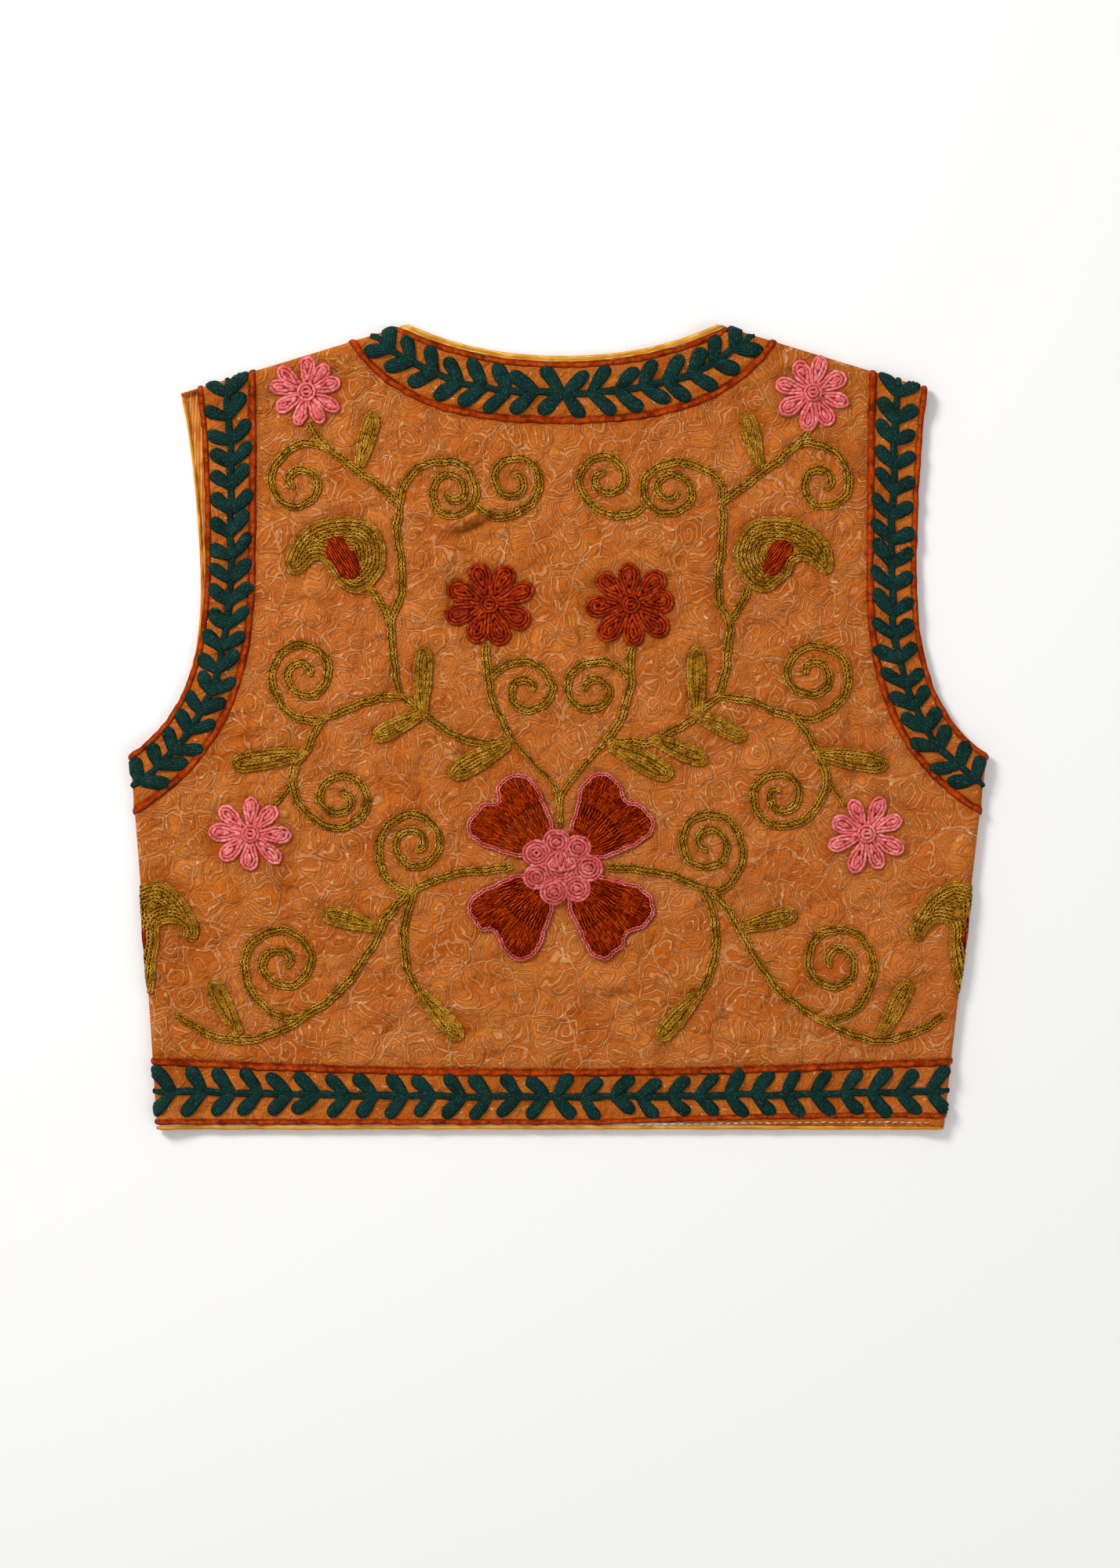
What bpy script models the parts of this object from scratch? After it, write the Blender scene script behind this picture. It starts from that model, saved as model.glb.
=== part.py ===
"""An embroidered waistcoat lying flat, with its back up and its two fronts under it.

+X is to the right of the back, +Y towards the neck and +Z up, away from the surface it lies on.
The cloth is two layers. The fronts lie flat on z = 0. The back lies on them, and rounds down at
the sides and the shoulders to meet them in a seam. The armholes, the neck and the hem are open.
Every piece is worked out on a symmetric cut, and place() leans it a little, as the garment lies.
"""

import math

import bmesh
import bpy

# The cut, in metres. Half widths are measured from the centre back.
HEM_HALF_WIDTH = 0.2205
HEM_Y = -0.2255
SIDE_FLARE = 0.085
SIDE_CURVE = 0.0444
SIDE_FOOT = 0.0035
UNDERARM_Y = -0.0150
NECK_HALF_WIDTH = 0.0873
NECK_POINT_Y = 0.2255
NECK_CENTRE_Y = 0.2080
TIP_HALF_WIDTH = 0.2043
TIP_Y = 0.1900
ARMHOLE_HALF_WIDTH = 0.1993
ARMHOLE_WAIST_Y = 0.0900
LEAN = 0.0166
BEND = 0.0267

# Where the bands are sewn to the panels, at the shoulder, the side and the centre.
NECK_SEAM_X = 0.1180
NECK_SEAM_CENTRE_Y = 0.1720
ARMHOLE_SEAM_X = 0.1738
ARMHOLE_SEAM_WAIST_X = 0.1731
ARMHOLE_SEAM_SIDE_Y = -0.0470
HEM_SEAM_SIDE_Y = -0.1870
HEM_SEAM_SAG = 0.0065

# The fronts' neckline and edges, which the back hides.
FRONT_GAP = 0.0020
FRONT_NECK_Y = 0.0900
FRONT_BAND_WIDTH = 0.0300
FRONT_INSET = 0.0015
LEFT_FACING_SHOW = 0.0095
LEFT_FACING_END_Y = 0.0

# Cloth, cords and lining edges.
WALL = 0.0020
GAP = 0.0003
FOLD_RADIUS = 0.0036
FOLD_SETTLE = 0.0200
CORD_WIDTH = 0.0044
CORD_HEIGHT = 0.0028
CORD_RISE = 0.0009
EDGE_CORD_WIDTH = 0.0032
ROLL_WIDTH = 0.0028
HEM_ROLL_WIDTH = 0.0022
CORD_SIDES = 8
DOWN_TO_LINING = -1
UP_TO_LINING = 1
SNAP = 0.00006

# Gentle swells of the back where the quilted cloth stands off the fronts.
# Each row is the centre x and y, the half length, the half width, the turn in degrees, the height.
SWELLS = (
    (-0.054, 0.112, 0.034, 0.013, 25.0, 0.0016),
    (0.060, 0.120, 0.030, 0.014, -30.0, 0.0012),
    (-0.115, 0.070, 0.040, 0.015, -5.0, 0.0012),
    (0.150, 0.020, 0.036, 0.014, 60.0, 0.0014),
    (-0.160, -0.060, 0.045, 0.016, 80.0, 0.0016),
    (0.020, -0.150, 0.060, 0.015, 8.0, 0.0014),
    (-0.100, -0.150, 0.045, 0.016, 70.0, 0.0012),
    (0.180, -0.140, 0.040, 0.014, 40.0, 0.0018),
    (0.000, 0.040, 0.045, 0.018, 88.0, 0.0010),
    (0.090, -0.060, 0.040, 0.016, -20.0, 0.0011),
)

# Stations along the pieces, as shares of a length, closer where the cloth rounds into a fold.
FOLD_STATIONS = (0.0, 0.0012, 0.0040, 0.0090, 0.0220, 0.0500, 0.1000)
SHOULDER_SHARE = 0.16
NECK_STEPS = 7
SIDE_SHARE = 0.35
SIDE_STEPS = 5
ARMHOLE_STEPS = 9
FRONT_STEPS = 8

COLOURS = {
    "ochre_cloth": (0.66, 0.27, 0.075),
    "rust_cord": (0.42, 0.06, 0.008),
    "yellow_lining": (0.80, 0.42, 0.06),
}


def side_x(y):
    """The half width of the side fold at a height y of the cut."""
    rise = y - HEM_Y - SIDE_FOOT
    return HEM_HALF_WIDTH + SIDE_FLARE * rise + SIDE_CURVE * rise * abs(rise)


def shoulder_y(x):
    """The height of the shoulder fold at a half width x."""
    slope = (NECK_POINT_Y - TIP_Y) / (TIP_HALF_WIDTH - NECK_HALF_WIDTH)
    return NECK_POINT_Y - slope * (x - NECK_HALF_WIDTH)


def lean_at(y):
    """How far the garment lies over to the right at a height y of the cut."""
    rise = y - UNDERARM_Y
    return LEAN * rise - BEND * rise * rise


def place(x, y):
    """A point of the cut where it lies, leaning and bending a little about the underarms."""
    return x + lean_at(y), y


def unplace(x, y):
    """The point of the cut that place() put at x and y."""
    return x - lean_at(y), y


def lerp(a, b, t):
    """The point a share t of the way from a to b."""
    return tuple(p + (q - p) * t for p, q in zip(a, b))


def bezier(segments, t):
    """The point at t, from 0 to 1, along a chain of cubic curves that share t evenly."""
    index = min(int(t * len(segments)), len(segments) - 1)
    s = t * len(segments) - index
    shares = ((1 - s) ** 3, 3 * s * (1 - s) ** 2, 3 * s * s * (1 - s), s**3)
    return tuple(sum(w * p[k] for w, p in zip(shares, segments[index])) for k in (0, 1))


def evenly(curve, count=240):
    """The same curve as a function of the share of its length."""
    points = [curve(i / count) for i in range(count + 1)]
    runs = [0.0]
    for a, b in zip(points, points[1:]):
        runs.append(runs[-1] + math.dist(a, b))

    def at(share):
        """The point at that share of the length."""
        target = min(max(share, 0.0), 1.0) * runs[-1]
        low = max(i for i in range(count) if runs[i] <= target or i == 0)
        step = runs[low + 1] - runs[low]
        return lerp(points[low], points[low + 1], (target - runs[low]) / step)

    return at


UNDERARM = (side_x(UNDERARM_Y), UNDERARM_Y)
TIP = (TIP_HALF_WIDTH, TIP_Y)
ARMHOLE_END = (side_x(ARMHOLE_SEAM_SIDE_Y), ARMHOLE_SEAM_SIDE_Y)
ARMHOLE_TOP = (ARMHOLE_SEAM_X, shoulder_y(ARMHOLE_SEAM_X))
NECK_POINT = (NECK_HALF_WIDTH, NECK_POINT_Y)
NECK_TOP = (NECK_SEAM_X, shoulder_y(NECK_SEAM_X))


def armhole_curve(end, waist_x, top, low_pull, high_pull):
    """A curve from the underarm up to the shoulder, upright at the armhole's waist."""
    waist = (waist_x, ARMHOLE_WAIST_Y)
    low = (end, low_pull, (waist_x, ARMHOLE_WAIST_Y - 0.050), waist)
    high = (waist, (waist_x, ARMHOLE_WAIST_Y + 0.035), high_pull, top)
    return evenly(lambda t: bezier((low, high), t))


ARMHOLE_EDGE = armhole_curve(UNDERARM, ARMHOLE_HALF_WIDTH, TIP, (0.2100, 0.0050), (0.2005, 0.1550))
ARMHOLE_SEAM = armhole_curve(
    ARMHOLE_END, ARMHOLE_SEAM_WAIST_X, ARMHOLE_TOP, (0.1800, -0.0120), (0.1728, 0.1600)
)


def neck_curve(end, centre_y, centre_pull, end_pull):
    """A curve across the back from the left shoulder down to the centre and up to the right."""
    right = ((0.0, centre_y), (centre_pull, centre_y), end_pull, end)
    left = tuple((-x, y) for x, y in reversed(right))
    return evenly(lambda t: bezier((left, right), t))


NECK_EDGE = neck_curve(NECK_POINT, NECK_CENTRE_Y, 0.0350, (0.0600, 0.2140))
NECK_SEAM = neck_curve(NECK_TOP, NECK_SEAM_CENTRE_Y, 0.0600, (0.0950, 0.1830))


def hem_seam(t):
    """The hem band's seam, from the left side to the right, sagging a little at the centre."""
    reach = side_x(HEM_SEAM_SIDE_Y)
    across = 2 * t - 1
    return reach * across, HEM_SEAM_SIDE_Y - HEM_SEAM_SAG * (1 - across * across)


def hem_edge(t):
    """The lower edge, from the left side to the right."""
    return side_x(HEM_Y) * (2 * t - 1), HEM_Y


def beside(curve, stations, offset, start_fold=None, end_fold=None):
    """Points beside a curve, offset to its left. At a fold they slide along the fold instead."""
    points = []
    for i, t in enumerate(stations):
        a, b = curve(max(t - 0.002, 0.0)), curve(min(t + 0.002, 1.0))
        length = math.dist(a, b)
        normal = (-(b[1] - a[1]) / length, (b[0] - a[0]) / length)
        fold = start_fold if i == 0 else end_fold if i == len(stations) - 1 else None
        if fold:
            reach = 1.0 / (fold[0] * normal[0] + fold[1] * normal[1])
            normal = (fold[0] * reach, fold[1] * reach)
        centre = curve(t)
        points.append((centre[0] + normal[0] * offset, centre[1] + normal[1] * offset))
    return points


def side_fold(y):
    """The right side fold's direction at a height y, as a unit vector."""
    run = side_x(y + 0.001) - side_x(y - 0.001)
    length = math.hypot(run, 0.002)
    return run / length, 0.002 / length


SHOULDER_FOLD = tuple(
    c / math.dist(NECK_POINT, TIP) for c in (TIP[0] - NECK_POINT[0], TIP[1] - NECK_POINT[1])
)
SHOULDER_FOLD_LEFT = (-SHOULDER_FOLD[0], SHOULDER_FOLD[1])


def signed_fold_distance(x, y):
    """How far in a point of the cut is from the nearest side fold or shoulder fold."""
    half = abs(x)
    if y > UNDERARM_Y:
        side = math.dist((half, y), UNDERARM)
    else:
        side = (side_x(y) - half) * side_fold(y)[1]
    across = (half - NECK_POINT[0], y - NECK_POINT[1])
    run = across[0] * SHOULDER_FOLD[0] + across[1] * SHOULDER_FOLD[1]
    reach = math.dist(NECK_POINT, TIP) + 2 * LEFT_FACING_SHOW
    if 0 < run < reach:
        shoulder = across[0] * SHOULDER_FOLD[1] - across[1] * SHOULDER_FOLD[0]
    else:
        past = min(run, 0.0) + max(run - reach, 0.0)
        away = across[0] * SHOULDER_FOLD[1] - across[1] * SHOULDER_FOLD[0]
        shoulder = math.hypot(past, away)
    return min(side, shoulder)


def fold_distance(x, y):
    """The same distance, never less than nothing."""
    return max(signed_fold_distance(x, y) - SNAP, 0.0)


def swell(x, y):
    """How far the swells lift the back at a point of the cut."""
    lift = 0.0
    for centre_x, centre_y, long_half, wide_half, turn, height in SWELLS:
        c, s = math.cos(math.radians(turn)), math.sin(math.radians(turn))
        along = ((x - centre_x) * c + (y - centre_y) * s) / long_half
        across = ((y - centre_y) * c - (x - centre_x) * s) / wide_half
        lift += height * math.exp(-along * along - across * across)
    return lift


def round_rise(distance):
    """How far a fold's outer face is from its middle, at a distance in from its edge."""
    inward = FOLD_RADIUS - min(distance, FOLD_RADIUS)
    return math.sqrt(max(FOLD_RADIUS**2 - inward**2, 0.0))


def back_height(x, y):
    """The height of the back's outer face."""
    distance = fold_distance(x, y)
    resting = 2 * WALL + GAP + swell(x, y)
    if distance < FOLD_RADIUS:
        return FOLD_RADIUS + GAP / 2 + round_rise(distance) * (1 - GAP / 2 / FOLD_RADIUS)
    share = min((distance - FOLD_RADIUS) / FOLD_SETTLE, 1.0)
    settle = 0.5 + 0.5 * math.cos(math.pi * share)
    return resting + max(2 * FOLD_RADIUS - resting, 0.0) * settle


def front_height(x, y):
    """The height of the fronts' outer face, which is their underside."""
    drop = round_rise(fold_distance(x, y)) * (1 - GAP / 2 / FOLD_RADIUS)
    return max(FOLD_RADIUS - GAP / 2 - drop, 0.0)


def wall_direction(x, y):
    """The unit vector from the outer face into the cloth, its height counted towards the lining."""
    distance = fold_distance(x, y)
    if distance >= FOLD_RADIUS:
        return 0.0, 0.0, 1.0
    step = FOLD_RADIUS / 10
    run_x = signed_fold_distance(x + step, y) - signed_fold_distance(x - step, y)
    run_y = signed_fold_distance(x, y + step) - signed_fold_distance(x, y - step)
    length = math.hypot(run_x, run_y)
    level = 1 - distance / FOLD_RADIUS
    upright = math.sqrt(1 - level * level)
    return run_x / length * level, run_y / length * level, upright


def material(name):
    """The plain cloth material of that name."""
    made = bpy.data.materials.get(name)
    if made is None:
        made = bpy.data.materials.new(name)
        made.use_nodes = True
        shader = made.node_tree.nodes["Principled BSDF"]
        shader.inputs["Base Color"].default_value = (*COLOURS[name], 1.0)
        shader.inputs["Roughness"].default_value = 0.85
        shader.inputs["Metallic"].default_value = 0.0
    return made


def add_object(name, mesh_builder, colour):
    """Links a new object made from a bmesh, shaded smooth, with its material."""
    mesh = bpy.data.meshes.new(name)
    mesh_builder.to_mesh(mesh)
    mesh_builder.free()
    mesh.materials.append(material(colour))
    mesh.shade_smooth()
    mesh.set_sharp_from_angle(angle=math.radians(40))
    obj = bpy.data.objects.new(name, mesh)
    bpy.context.scene.collection.objects.link(obj)
    return obj


def coons(bottom, top, left, right, u, v, i, j):
    """The point of a four-sided patch at column i and row j. u and v are the columns' and rows' shares."""
    s, t = u[i], v[j]
    return tuple(
        (1 - t) * bottom[i][k]
        + t * top[i][k]
        + (1 - s) * left[j][k]
        + s * right[j][k]
        - (1 - s) * (1 - t) * bottom[0][k]
        - s * (1 - t) * bottom[-1][k]
        - (1 - s) * t * top[0][k]
        - s * t * top[-1][k]
        for k in (0, 1)
    )


def add_sheet(name, columns, rows, at, height, lining_side):
    """A wall of cloth on a grid. at(i, j) is its outline on the cut, and height its outer face."""
    builder = bmesh.new()
    bmesh.ops.create_grid(builder, x_segments=columns - 1, y_segments=rows - 1, size=0.5)
    for vertex in builder.verts:
        i = round((vertex.co.x + 0.5) * (columns - 1))
        j = round((vertex.co.y + 0.5) * (rows - 1))
        x, y = at(i, j)
        vertex.co = (*place(x, y), height(x, y))
    wall = bmesh.ops.extrude_face_region(builder, geom=builder.faces[:])
    for vertex in wall["geom"]:
        if isinstance(vertex, bmesh.types.BMVert):
            x, y = unplace(vertex.co.x, vertex.co.y)
            inward = wall_direction(x, y)
            vertex.co.x += inward[0] * WALL
            vertex.co.y += inward[1] * WALL
            vertex.co.z += inward[2] * WALL * lining_side
    bmesh.ops.recalc_face_normals(builder, faces=builder.faces[:])
    return add_object(name, builder, "ochre_cloth")


def add_strip(name, one_edge, other_edge, height, lining_side, across=3):
    """A band of cloth between two edges that have the same number of points."""
    return add_sheet(
        name,
        len(one_edge),
        across,
        lambda i, j: lerp(one_edge[i], other_edge[i], j / (across - 1)),
        height,
        lining_side,
    )


def add_cord(name, one_side, other_side, thick, sink, colour):
    """A cord between two lines of the cut, standing a little proud of the cloth beside it."""
    builder = bmesh.new()
    rings = []
    for one, other in zip(one_side, other_side):
        x, y = lerp(one, other, 0.5)
        middle = back_height(x, y) - sink
        if fold_distance(x, y) < FOLD_RADIUS:
            middle = max(middle, FOLD_RADIUS + GAP + thick / 2)
        ring = []
        for k in range(CORD_SIDES):
            angle = 2 * math.pi * (k + 0.5) / CORD_SIDES
            px, py = place(*lerp(one, other, 0.5 + 0.5 * math.cos(angle)))
            ring.append(builder.verts.new((px, py, middle + thick / 2 * math.sin(angle))))
        rings.append(ring)
    for ring in rings:
        for k in range(CORD_SIDES):
            builder.edges.new((ring[k], ring[(k + 1) % CORD_SIDES]))
    for one, other in zip(rings, rings[1:]):
        hoops = [
            builder.edges.get((ring[k], ring[(k + 1) % CORD_SIDES]))
            for ring in (one, other)
            for k in range(CORD_SIDES)
        ]
        bmesh.ops.bridge_loops(builder, edges=hoops)
    for ring in (rings[0], rings[-1]):
        builder.faces.new(ring)
    bmesh.ops.recalc_face_normals(builder, faces=builder.faces)
    return add_object(name, builder, colour)


def mirrored(points, side):
    """Points of the right half, on the side given: 1 is right and -1 is left."""
    return [(side * x, y) for x, y in points]


def both_ends(stations):
    """Stations close together at both ends of a length, from 0 to 1."""
    return sorted({*stations, *(1 - s for s in stations)})


NECK_STATIONS = both_ends(
    FOLD_STATIONS[:-1] + tuple(0.5 * k / NECK_STEPS for k in range(2, NECK_STEPS + 1))
)
ACROSS = sorted(
    {
        *(s * 0.8 for s in FOLD_STATIONS),
        *(SHOULDER_SHARE + (1 - 2 * SHOULDER_SHARE) * t for t in NECK_STATIONS),
        *(1 - s * 0.8 for s in FOLD_STATIONS),
    }
)
ALONG_ARMHOLE = sorted(
    {
        *(k / ARMHOLE_STEPS for k in range(ARMHOLE_STEPS)),
        *(s * 0.8 for s in FOLD_STATIONS[1:-1]),
        *(1 - s * 1.4 for s in FOLD_STATIONS[:-1]),
    }
)
UP = sorted(
    {
        *(SIDE_SHARE * k / SIDE_STEPS for k in range(SIDE_STEPS)),
        *(SIDE_SHARE + (1 - SIDE_SHARE) * t for t in ALONG_ARMHOLE),
    }
)


def side_line(y_from, y_to, steps):
    """Points up the right side fold."""
    heights = [y_from + (y_to - y_from) * k / steps for k in range(steps)]
    return [(side_x(y), y) for y in heights]


def armhole_seam_line(offset, side, inset=0.0):
    """Points along the armhole seam from the side to the shoulder, offset towards the arm."""
    points = beside(
        ARMHOLE_SEAM,
        ALONG_ARMHOLE,
        -offset,
        side_fold(ARMHOLE_SEAM_SIDE_Y),
        SHOULDER_FOLD,
    )
    return mirrored([(x - inset, y) for x, y in points], side)


def armhole_edge_line(offset, side):
    """Points along the armhole's edge from the underarm to the tip, offset towards the arm."""
    points = beside(ARMHOLE_EDGE, ALONG_ARMHOLE, -offset, side_fold(UNDERARM_Y), SHOULDER_FOLD)
    return mirrored(points, side)


def facing_line(offset, side, show):
    """The front's armhole edge. show is how far it stands out past the back at the shoulder."""
    points = []
    for x, y in armhole_edge_line(offset, 1):
        share = max((y - LEFT_FACING_END_Y) / (TIP_Y - LEFT_FACING_END_Y), 0.0)
        out = show * share**1.6 if show else -FRONT_INSET * min(share * 8, 1.0)
        top = TIP_Y - 0.02
        fall = (shoulder_y(TIP_HALF_WIDTH + out) - TIP_Y) * max((y - top) / (TIP_Y - top), 0.0)
        points.append((side * (x + out), y + fall))
    return points


def neck_line(curve, stations, offset):
    """Points along a neck curve from the left shoulder to the right, offset towards the head."""
    return beside(curve, stations, offset, SHOULDER_FOLD_LEFT, SHOULDER_FOLD)


def hem_line(curve, offset, y):
    """Points along a hem curve from the left side to the right, offset towards the neck."""
    right = side_fold(y)
    return beside(curve, ACROSS, offset, (-right[0], right[1]), right)


def build_back():
    """The back panel and its neck, armhole and hem bands, all lying face up."""
    seam = CORD_WIDTH / 2 + GAP
    neck = neck_line(NECK_SEAM, NECK_STATIONS, -seam)
    rights = armhole_seam_line(-seam, 1)
    hem = hem_line(hem_seam, seam, HEM_SEAM_SIDE_Y)
    shoulder = [s for s in ACROSS if s < SHOULDER_SHARE - 1e-9]
    right_shoulder = [lerp(rights[-1], neck[-1], s / SHOULDER_SHARE) for s in shoulder]
    left_shoulder = mirrored([lerp(rights[-1], neck[-1], s / SHOULDER_SHARE) for s in shoulder], -1)
    top = left_shoulder + neck + right_shoulder[::-1]
    sides = side_line(hem[-1][1], rights[0][1], SIDE_STEPS) + rights
    left = mirrored(sides, -1)
    add_sheet(
        "back_panel",
        len(ACROSS),
        len(UP),
        lambda i, j: coons(hem, top, left, sides, ACROSS, UP, i, j),
        back_height,
        DOWN_TO_LINING,
    )
    edge = -(ROLL_WIDTH + EDGE_CORD_WIDTH + 3 * GAP)
    add_strip(
        "back_neck_band",
        neck_line(NECK_SEAM, NECK_STATIONS, seam),
        neck_line(NECK_EDGE, NECK_STATIONS, edge),
        back_height,
        DOWN_TO_LINING,
    )
    edge = -(EDGE_CORD_WIDTH + GAP)
    for side, word in ((-1, "left"), (1, "right")):
        add_strip(
            f"back_armhole_band_{word}",
            armhole_seam_line(seam, side),
            armhole_edge_line(edge, side),
            back_height,
            DOWN_TO_LINING,
        )
    low = HEM_ROLL_WIDTH + EDGE_CORD_WIDTH + 3 * GAP
    add_strip(
        "back_hem_band",
        hem_line(hem_edge, low, HEM_Y),
        hem_line(hem_seam, -seam, HEM_SEAM_SIDE_Y),
        back_height,
        DOWN_TO_LINING,
    )


def build_cords():
    """The rust cords in the seams and along the edges of the back."""
    wide = CORD_WIDTH / 2
    neck_top = -(ROLL_WIDTH + 2 * GAP)
    hem_foot = HEM_ROLL_WIDTH + 2 * GAP
    thin = EDGE_CORD_WIDTH
    rows = [
        (
            "neck_seam_cord",
            neck_line(NECK_SEAM, NECK_STATIONS, -wide),
            neck_line(NECK_SEAM, NECK_STATIONS, wide),
        ),
        (
            "neck_edge_cord",
            neck_line(NECK_EDGE, NECK_STATIONS, neck_top - thin),
            neck_line(NECK_EDGE, NECK_STATIONS, neck_top),
        ),
        (
            "hem_seam_cord",
            hem_line(hem_seam, -wide, HEM_SEAM_SIDE_Y),
            hem_line(hem_seam, wide, HEM_SEAM_SIDE_Y),
        ),
        (
            "hem_edge_cord",
            hem_line(hem_edge, hem_foot, HEM_Y),
            hem_line(hem_edge, hem_foot + thin, HEM_Y),
        ),
    ]
    for side, word in ((-1, "left"), (1, "right")):
        seam = [armhole_seam_line(offset, side) for offset in (-wide, wide)]
        edge = [armhole_edge_line(offset, side) for offset in (-thin, 0.0)]
        rows.append((f"armhole_seam_cord_{word}", *seam))
        rows.append((f"armhole_edge_cord_{word}", *edge))
    for name, one_side, other_side in rows:
        add_cord(name, one_side, other_side, CORD_HEIGHT, CORD_HEIGHT / 2 - CORD_RISE, "rust_cord")


def build_lining_edges():
    """The yellow lining where it rolls out at the neck and the hem of the back."""
    sink = WALL / 2
    neck = [neck_line(NECK_EDGE, NECK_STATIONS, offset) for offset in (-ROLL_WIDTH, 0.0)]
    add_cord("neck_lining_edge", *neck, WALL, sink, "yellow_lining")
    hem = [hem_line(hem_edge, offset, HEM_Y) for offset in (0.0, HEM_ROLL_WIDTH)]
    add_cord("hem_lining_edge", *hem, WALL, sink, "yellow_lining")


def front_edge(inset, low_y):
    """A front's edge from low_y up to the shoulder, inset into the cloth, by share of length."""
    low_x, top_x = FRONT_GAP / 2 + inset, NECK_HALF_WIDTH + inset
    low, corner, top = (low_x, low_y), (low_x, FRONT_NECK_Y), (top_x, shoulder_y(top_x))
    straight = (low, lerp(low, corner, 1 / 3), lerp(low, corner, 2 / 3), corner)
    turn = (corner, (low_x, FRONT_NECK_Y + 0.045), (top_x - 0.018, top[1] - 0.060), top)
    return evenly(lambda t: bezier((straight, turn), t))


def build_front(side, word):
    """One front: its panel and its edge, armhole and hem bands, lying face down on the surface."""
    seam = GAP / 2
    show = LEFT_FACING_SHOW if side < 0 else 0.0
    hem_seam_y = HEM_SEAM_SIDE_Y - seam
    hem_low = HEM_Y + FRONT_INSET + HEM_ROLL_WIDTH
    panel_low = HEM_SEAM_SIDE_Y + seam

    outer = armhole_seam_line(-seam, 1)
    sides = side_line(panel_low, outer[0][1], SIDE_STEPS) + outer
    runs = [0.0]
    for a, b in zip(sides, sides[1:]):
        runs.append(runs[-1] + math.dist(a, b))
    up = [run / runs[-1] for run in runs]
    inner_curve = front_edge(FRONT_BAND_WIDTH + seam, panel_low)
    inner = [inner_curve(s) for s in up]
    fold_end = (1 - 2 * s for s in FOLD_STATIONS[:-1])
    across = sorted({*(k / FRONT_STEPS for k in range(FRONT_STEPS)), *fold_end})
    bottom = [lerp(inner[0], sides[0], s) for s in across]
    top = [lerp(inner[-1], sides[-1], s) for s in across]
    add_sheet(
        f"front_panel_{word}",
        len(across),
        len(up),
        lambda i, j: mirrored([coons(bottom, top, inner, sides, across, up, i, j)], side)[0],
        front_height,
        UP_TO_LINING,
    )

    bands = []
    for inset in (FRONT_BAND_WIDTH - seam, 0.0):
        curve = front_edge(inset, panel_low)
        bands.append(mirrored([(curve(0.0)[0], hem_low)] + [curve(s) for s in up], side))
    add_strip(f"front_edge_band_{word}", *bands, front_height, UP_TO_LINING)

    add_strip(
        f"front_armhole_band_{word}",
        armhole_seam_line(seam, side),
        facing_line(0.0, side, show),
        front_height,
        UP_TO_LINING,
    )

    low, high = (
        [lerp((inner[0][0], y), (side_x(y), y), s) for s in across] for y in (hem_low, hem_seam_y)
    )
    add_strip(
        f"front_hem_band_{word}",
        mirrored(low, side),
        mirrored(high, side),
        front_height,
        UP_TO_LINING,
    )


def main():
    """Clears the scene and builds every piece."""
    for obj in list(bpy.data.objects):
        bpy.data.objects.remove(obj)
    build_back()
    build_cords()
    build_lining_edges()
    for side, word in ((-1, "left"), (1, "right")):
        build_front(side, word)


main()
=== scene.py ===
"""Dresses a flat-laid embroidered waistcoat: figured cloth, leaf bands, piping and chain stitch.

The waistcoat lies with its back up. Every cloth piece is a thin shell on the form of its solid, and
every stitch is laid on the same surface, so that the two keep their places on each other.
"""

import logging
import math
from collections.abc import Sequence
from dataclasses import dataclass, field
from enum import Enum
from functools import cached_property

import bmesh
import bpy
import numpy as np
from mathutils import Matrix, Vector


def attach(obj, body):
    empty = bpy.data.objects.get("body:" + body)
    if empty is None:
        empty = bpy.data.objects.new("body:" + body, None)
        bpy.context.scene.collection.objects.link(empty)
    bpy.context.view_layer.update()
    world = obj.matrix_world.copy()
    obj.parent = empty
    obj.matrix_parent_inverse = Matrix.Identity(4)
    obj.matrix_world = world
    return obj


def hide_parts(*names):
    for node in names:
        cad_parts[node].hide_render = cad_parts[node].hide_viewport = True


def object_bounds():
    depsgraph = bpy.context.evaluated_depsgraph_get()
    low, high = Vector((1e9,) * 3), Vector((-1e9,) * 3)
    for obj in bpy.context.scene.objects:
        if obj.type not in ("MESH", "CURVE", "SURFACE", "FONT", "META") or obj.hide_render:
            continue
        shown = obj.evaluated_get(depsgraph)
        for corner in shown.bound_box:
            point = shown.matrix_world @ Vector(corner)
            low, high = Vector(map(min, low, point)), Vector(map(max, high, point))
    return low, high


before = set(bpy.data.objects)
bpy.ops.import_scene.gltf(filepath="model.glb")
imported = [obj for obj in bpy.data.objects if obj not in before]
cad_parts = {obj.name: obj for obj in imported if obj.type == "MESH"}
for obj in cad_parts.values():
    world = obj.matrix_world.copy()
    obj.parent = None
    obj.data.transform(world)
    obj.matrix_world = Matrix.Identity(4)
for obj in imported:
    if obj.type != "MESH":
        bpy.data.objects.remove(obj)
CAD_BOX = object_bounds()

LOG = logging.getLogger("waistcoat")
MM = 0.001
BODY = "root"
Colour = tuple[float, float, float, float]
Points = np.ndarray
Place = tuple[float, float]
Materials = tuple[bpy.types.Material, ...]
Route = Sequence[tuple[float, float, float]]
Socket = bpy.types.NodeSocket
Value = Socket | float | Sequence[float]


class Slot(Enum):
    """The record's material slots."""

    CLOTH = "figured_cloth"
    BAND = "leaf_band"
    CORD = "rust_cord"
    LINING = "yellow_lining"
    TEAL = "teal_thread"
    OLIVE = "olive_thread"
    PINK = "pink_thread"
    RED = "red_thread"


class Side(Enum):
    """The two sides of the waistcoat, as the back is seen."""

    LEFT = -1
    RIGHT = 1

    @property
    def word(self) -> str:
        """The side's name, as the nodes' names have it."""
        return self.name.lower()


class Face(Enum):
    """Which way a cloth piece's right side looks."""

    UP = 1
    DOWN = -1


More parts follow.
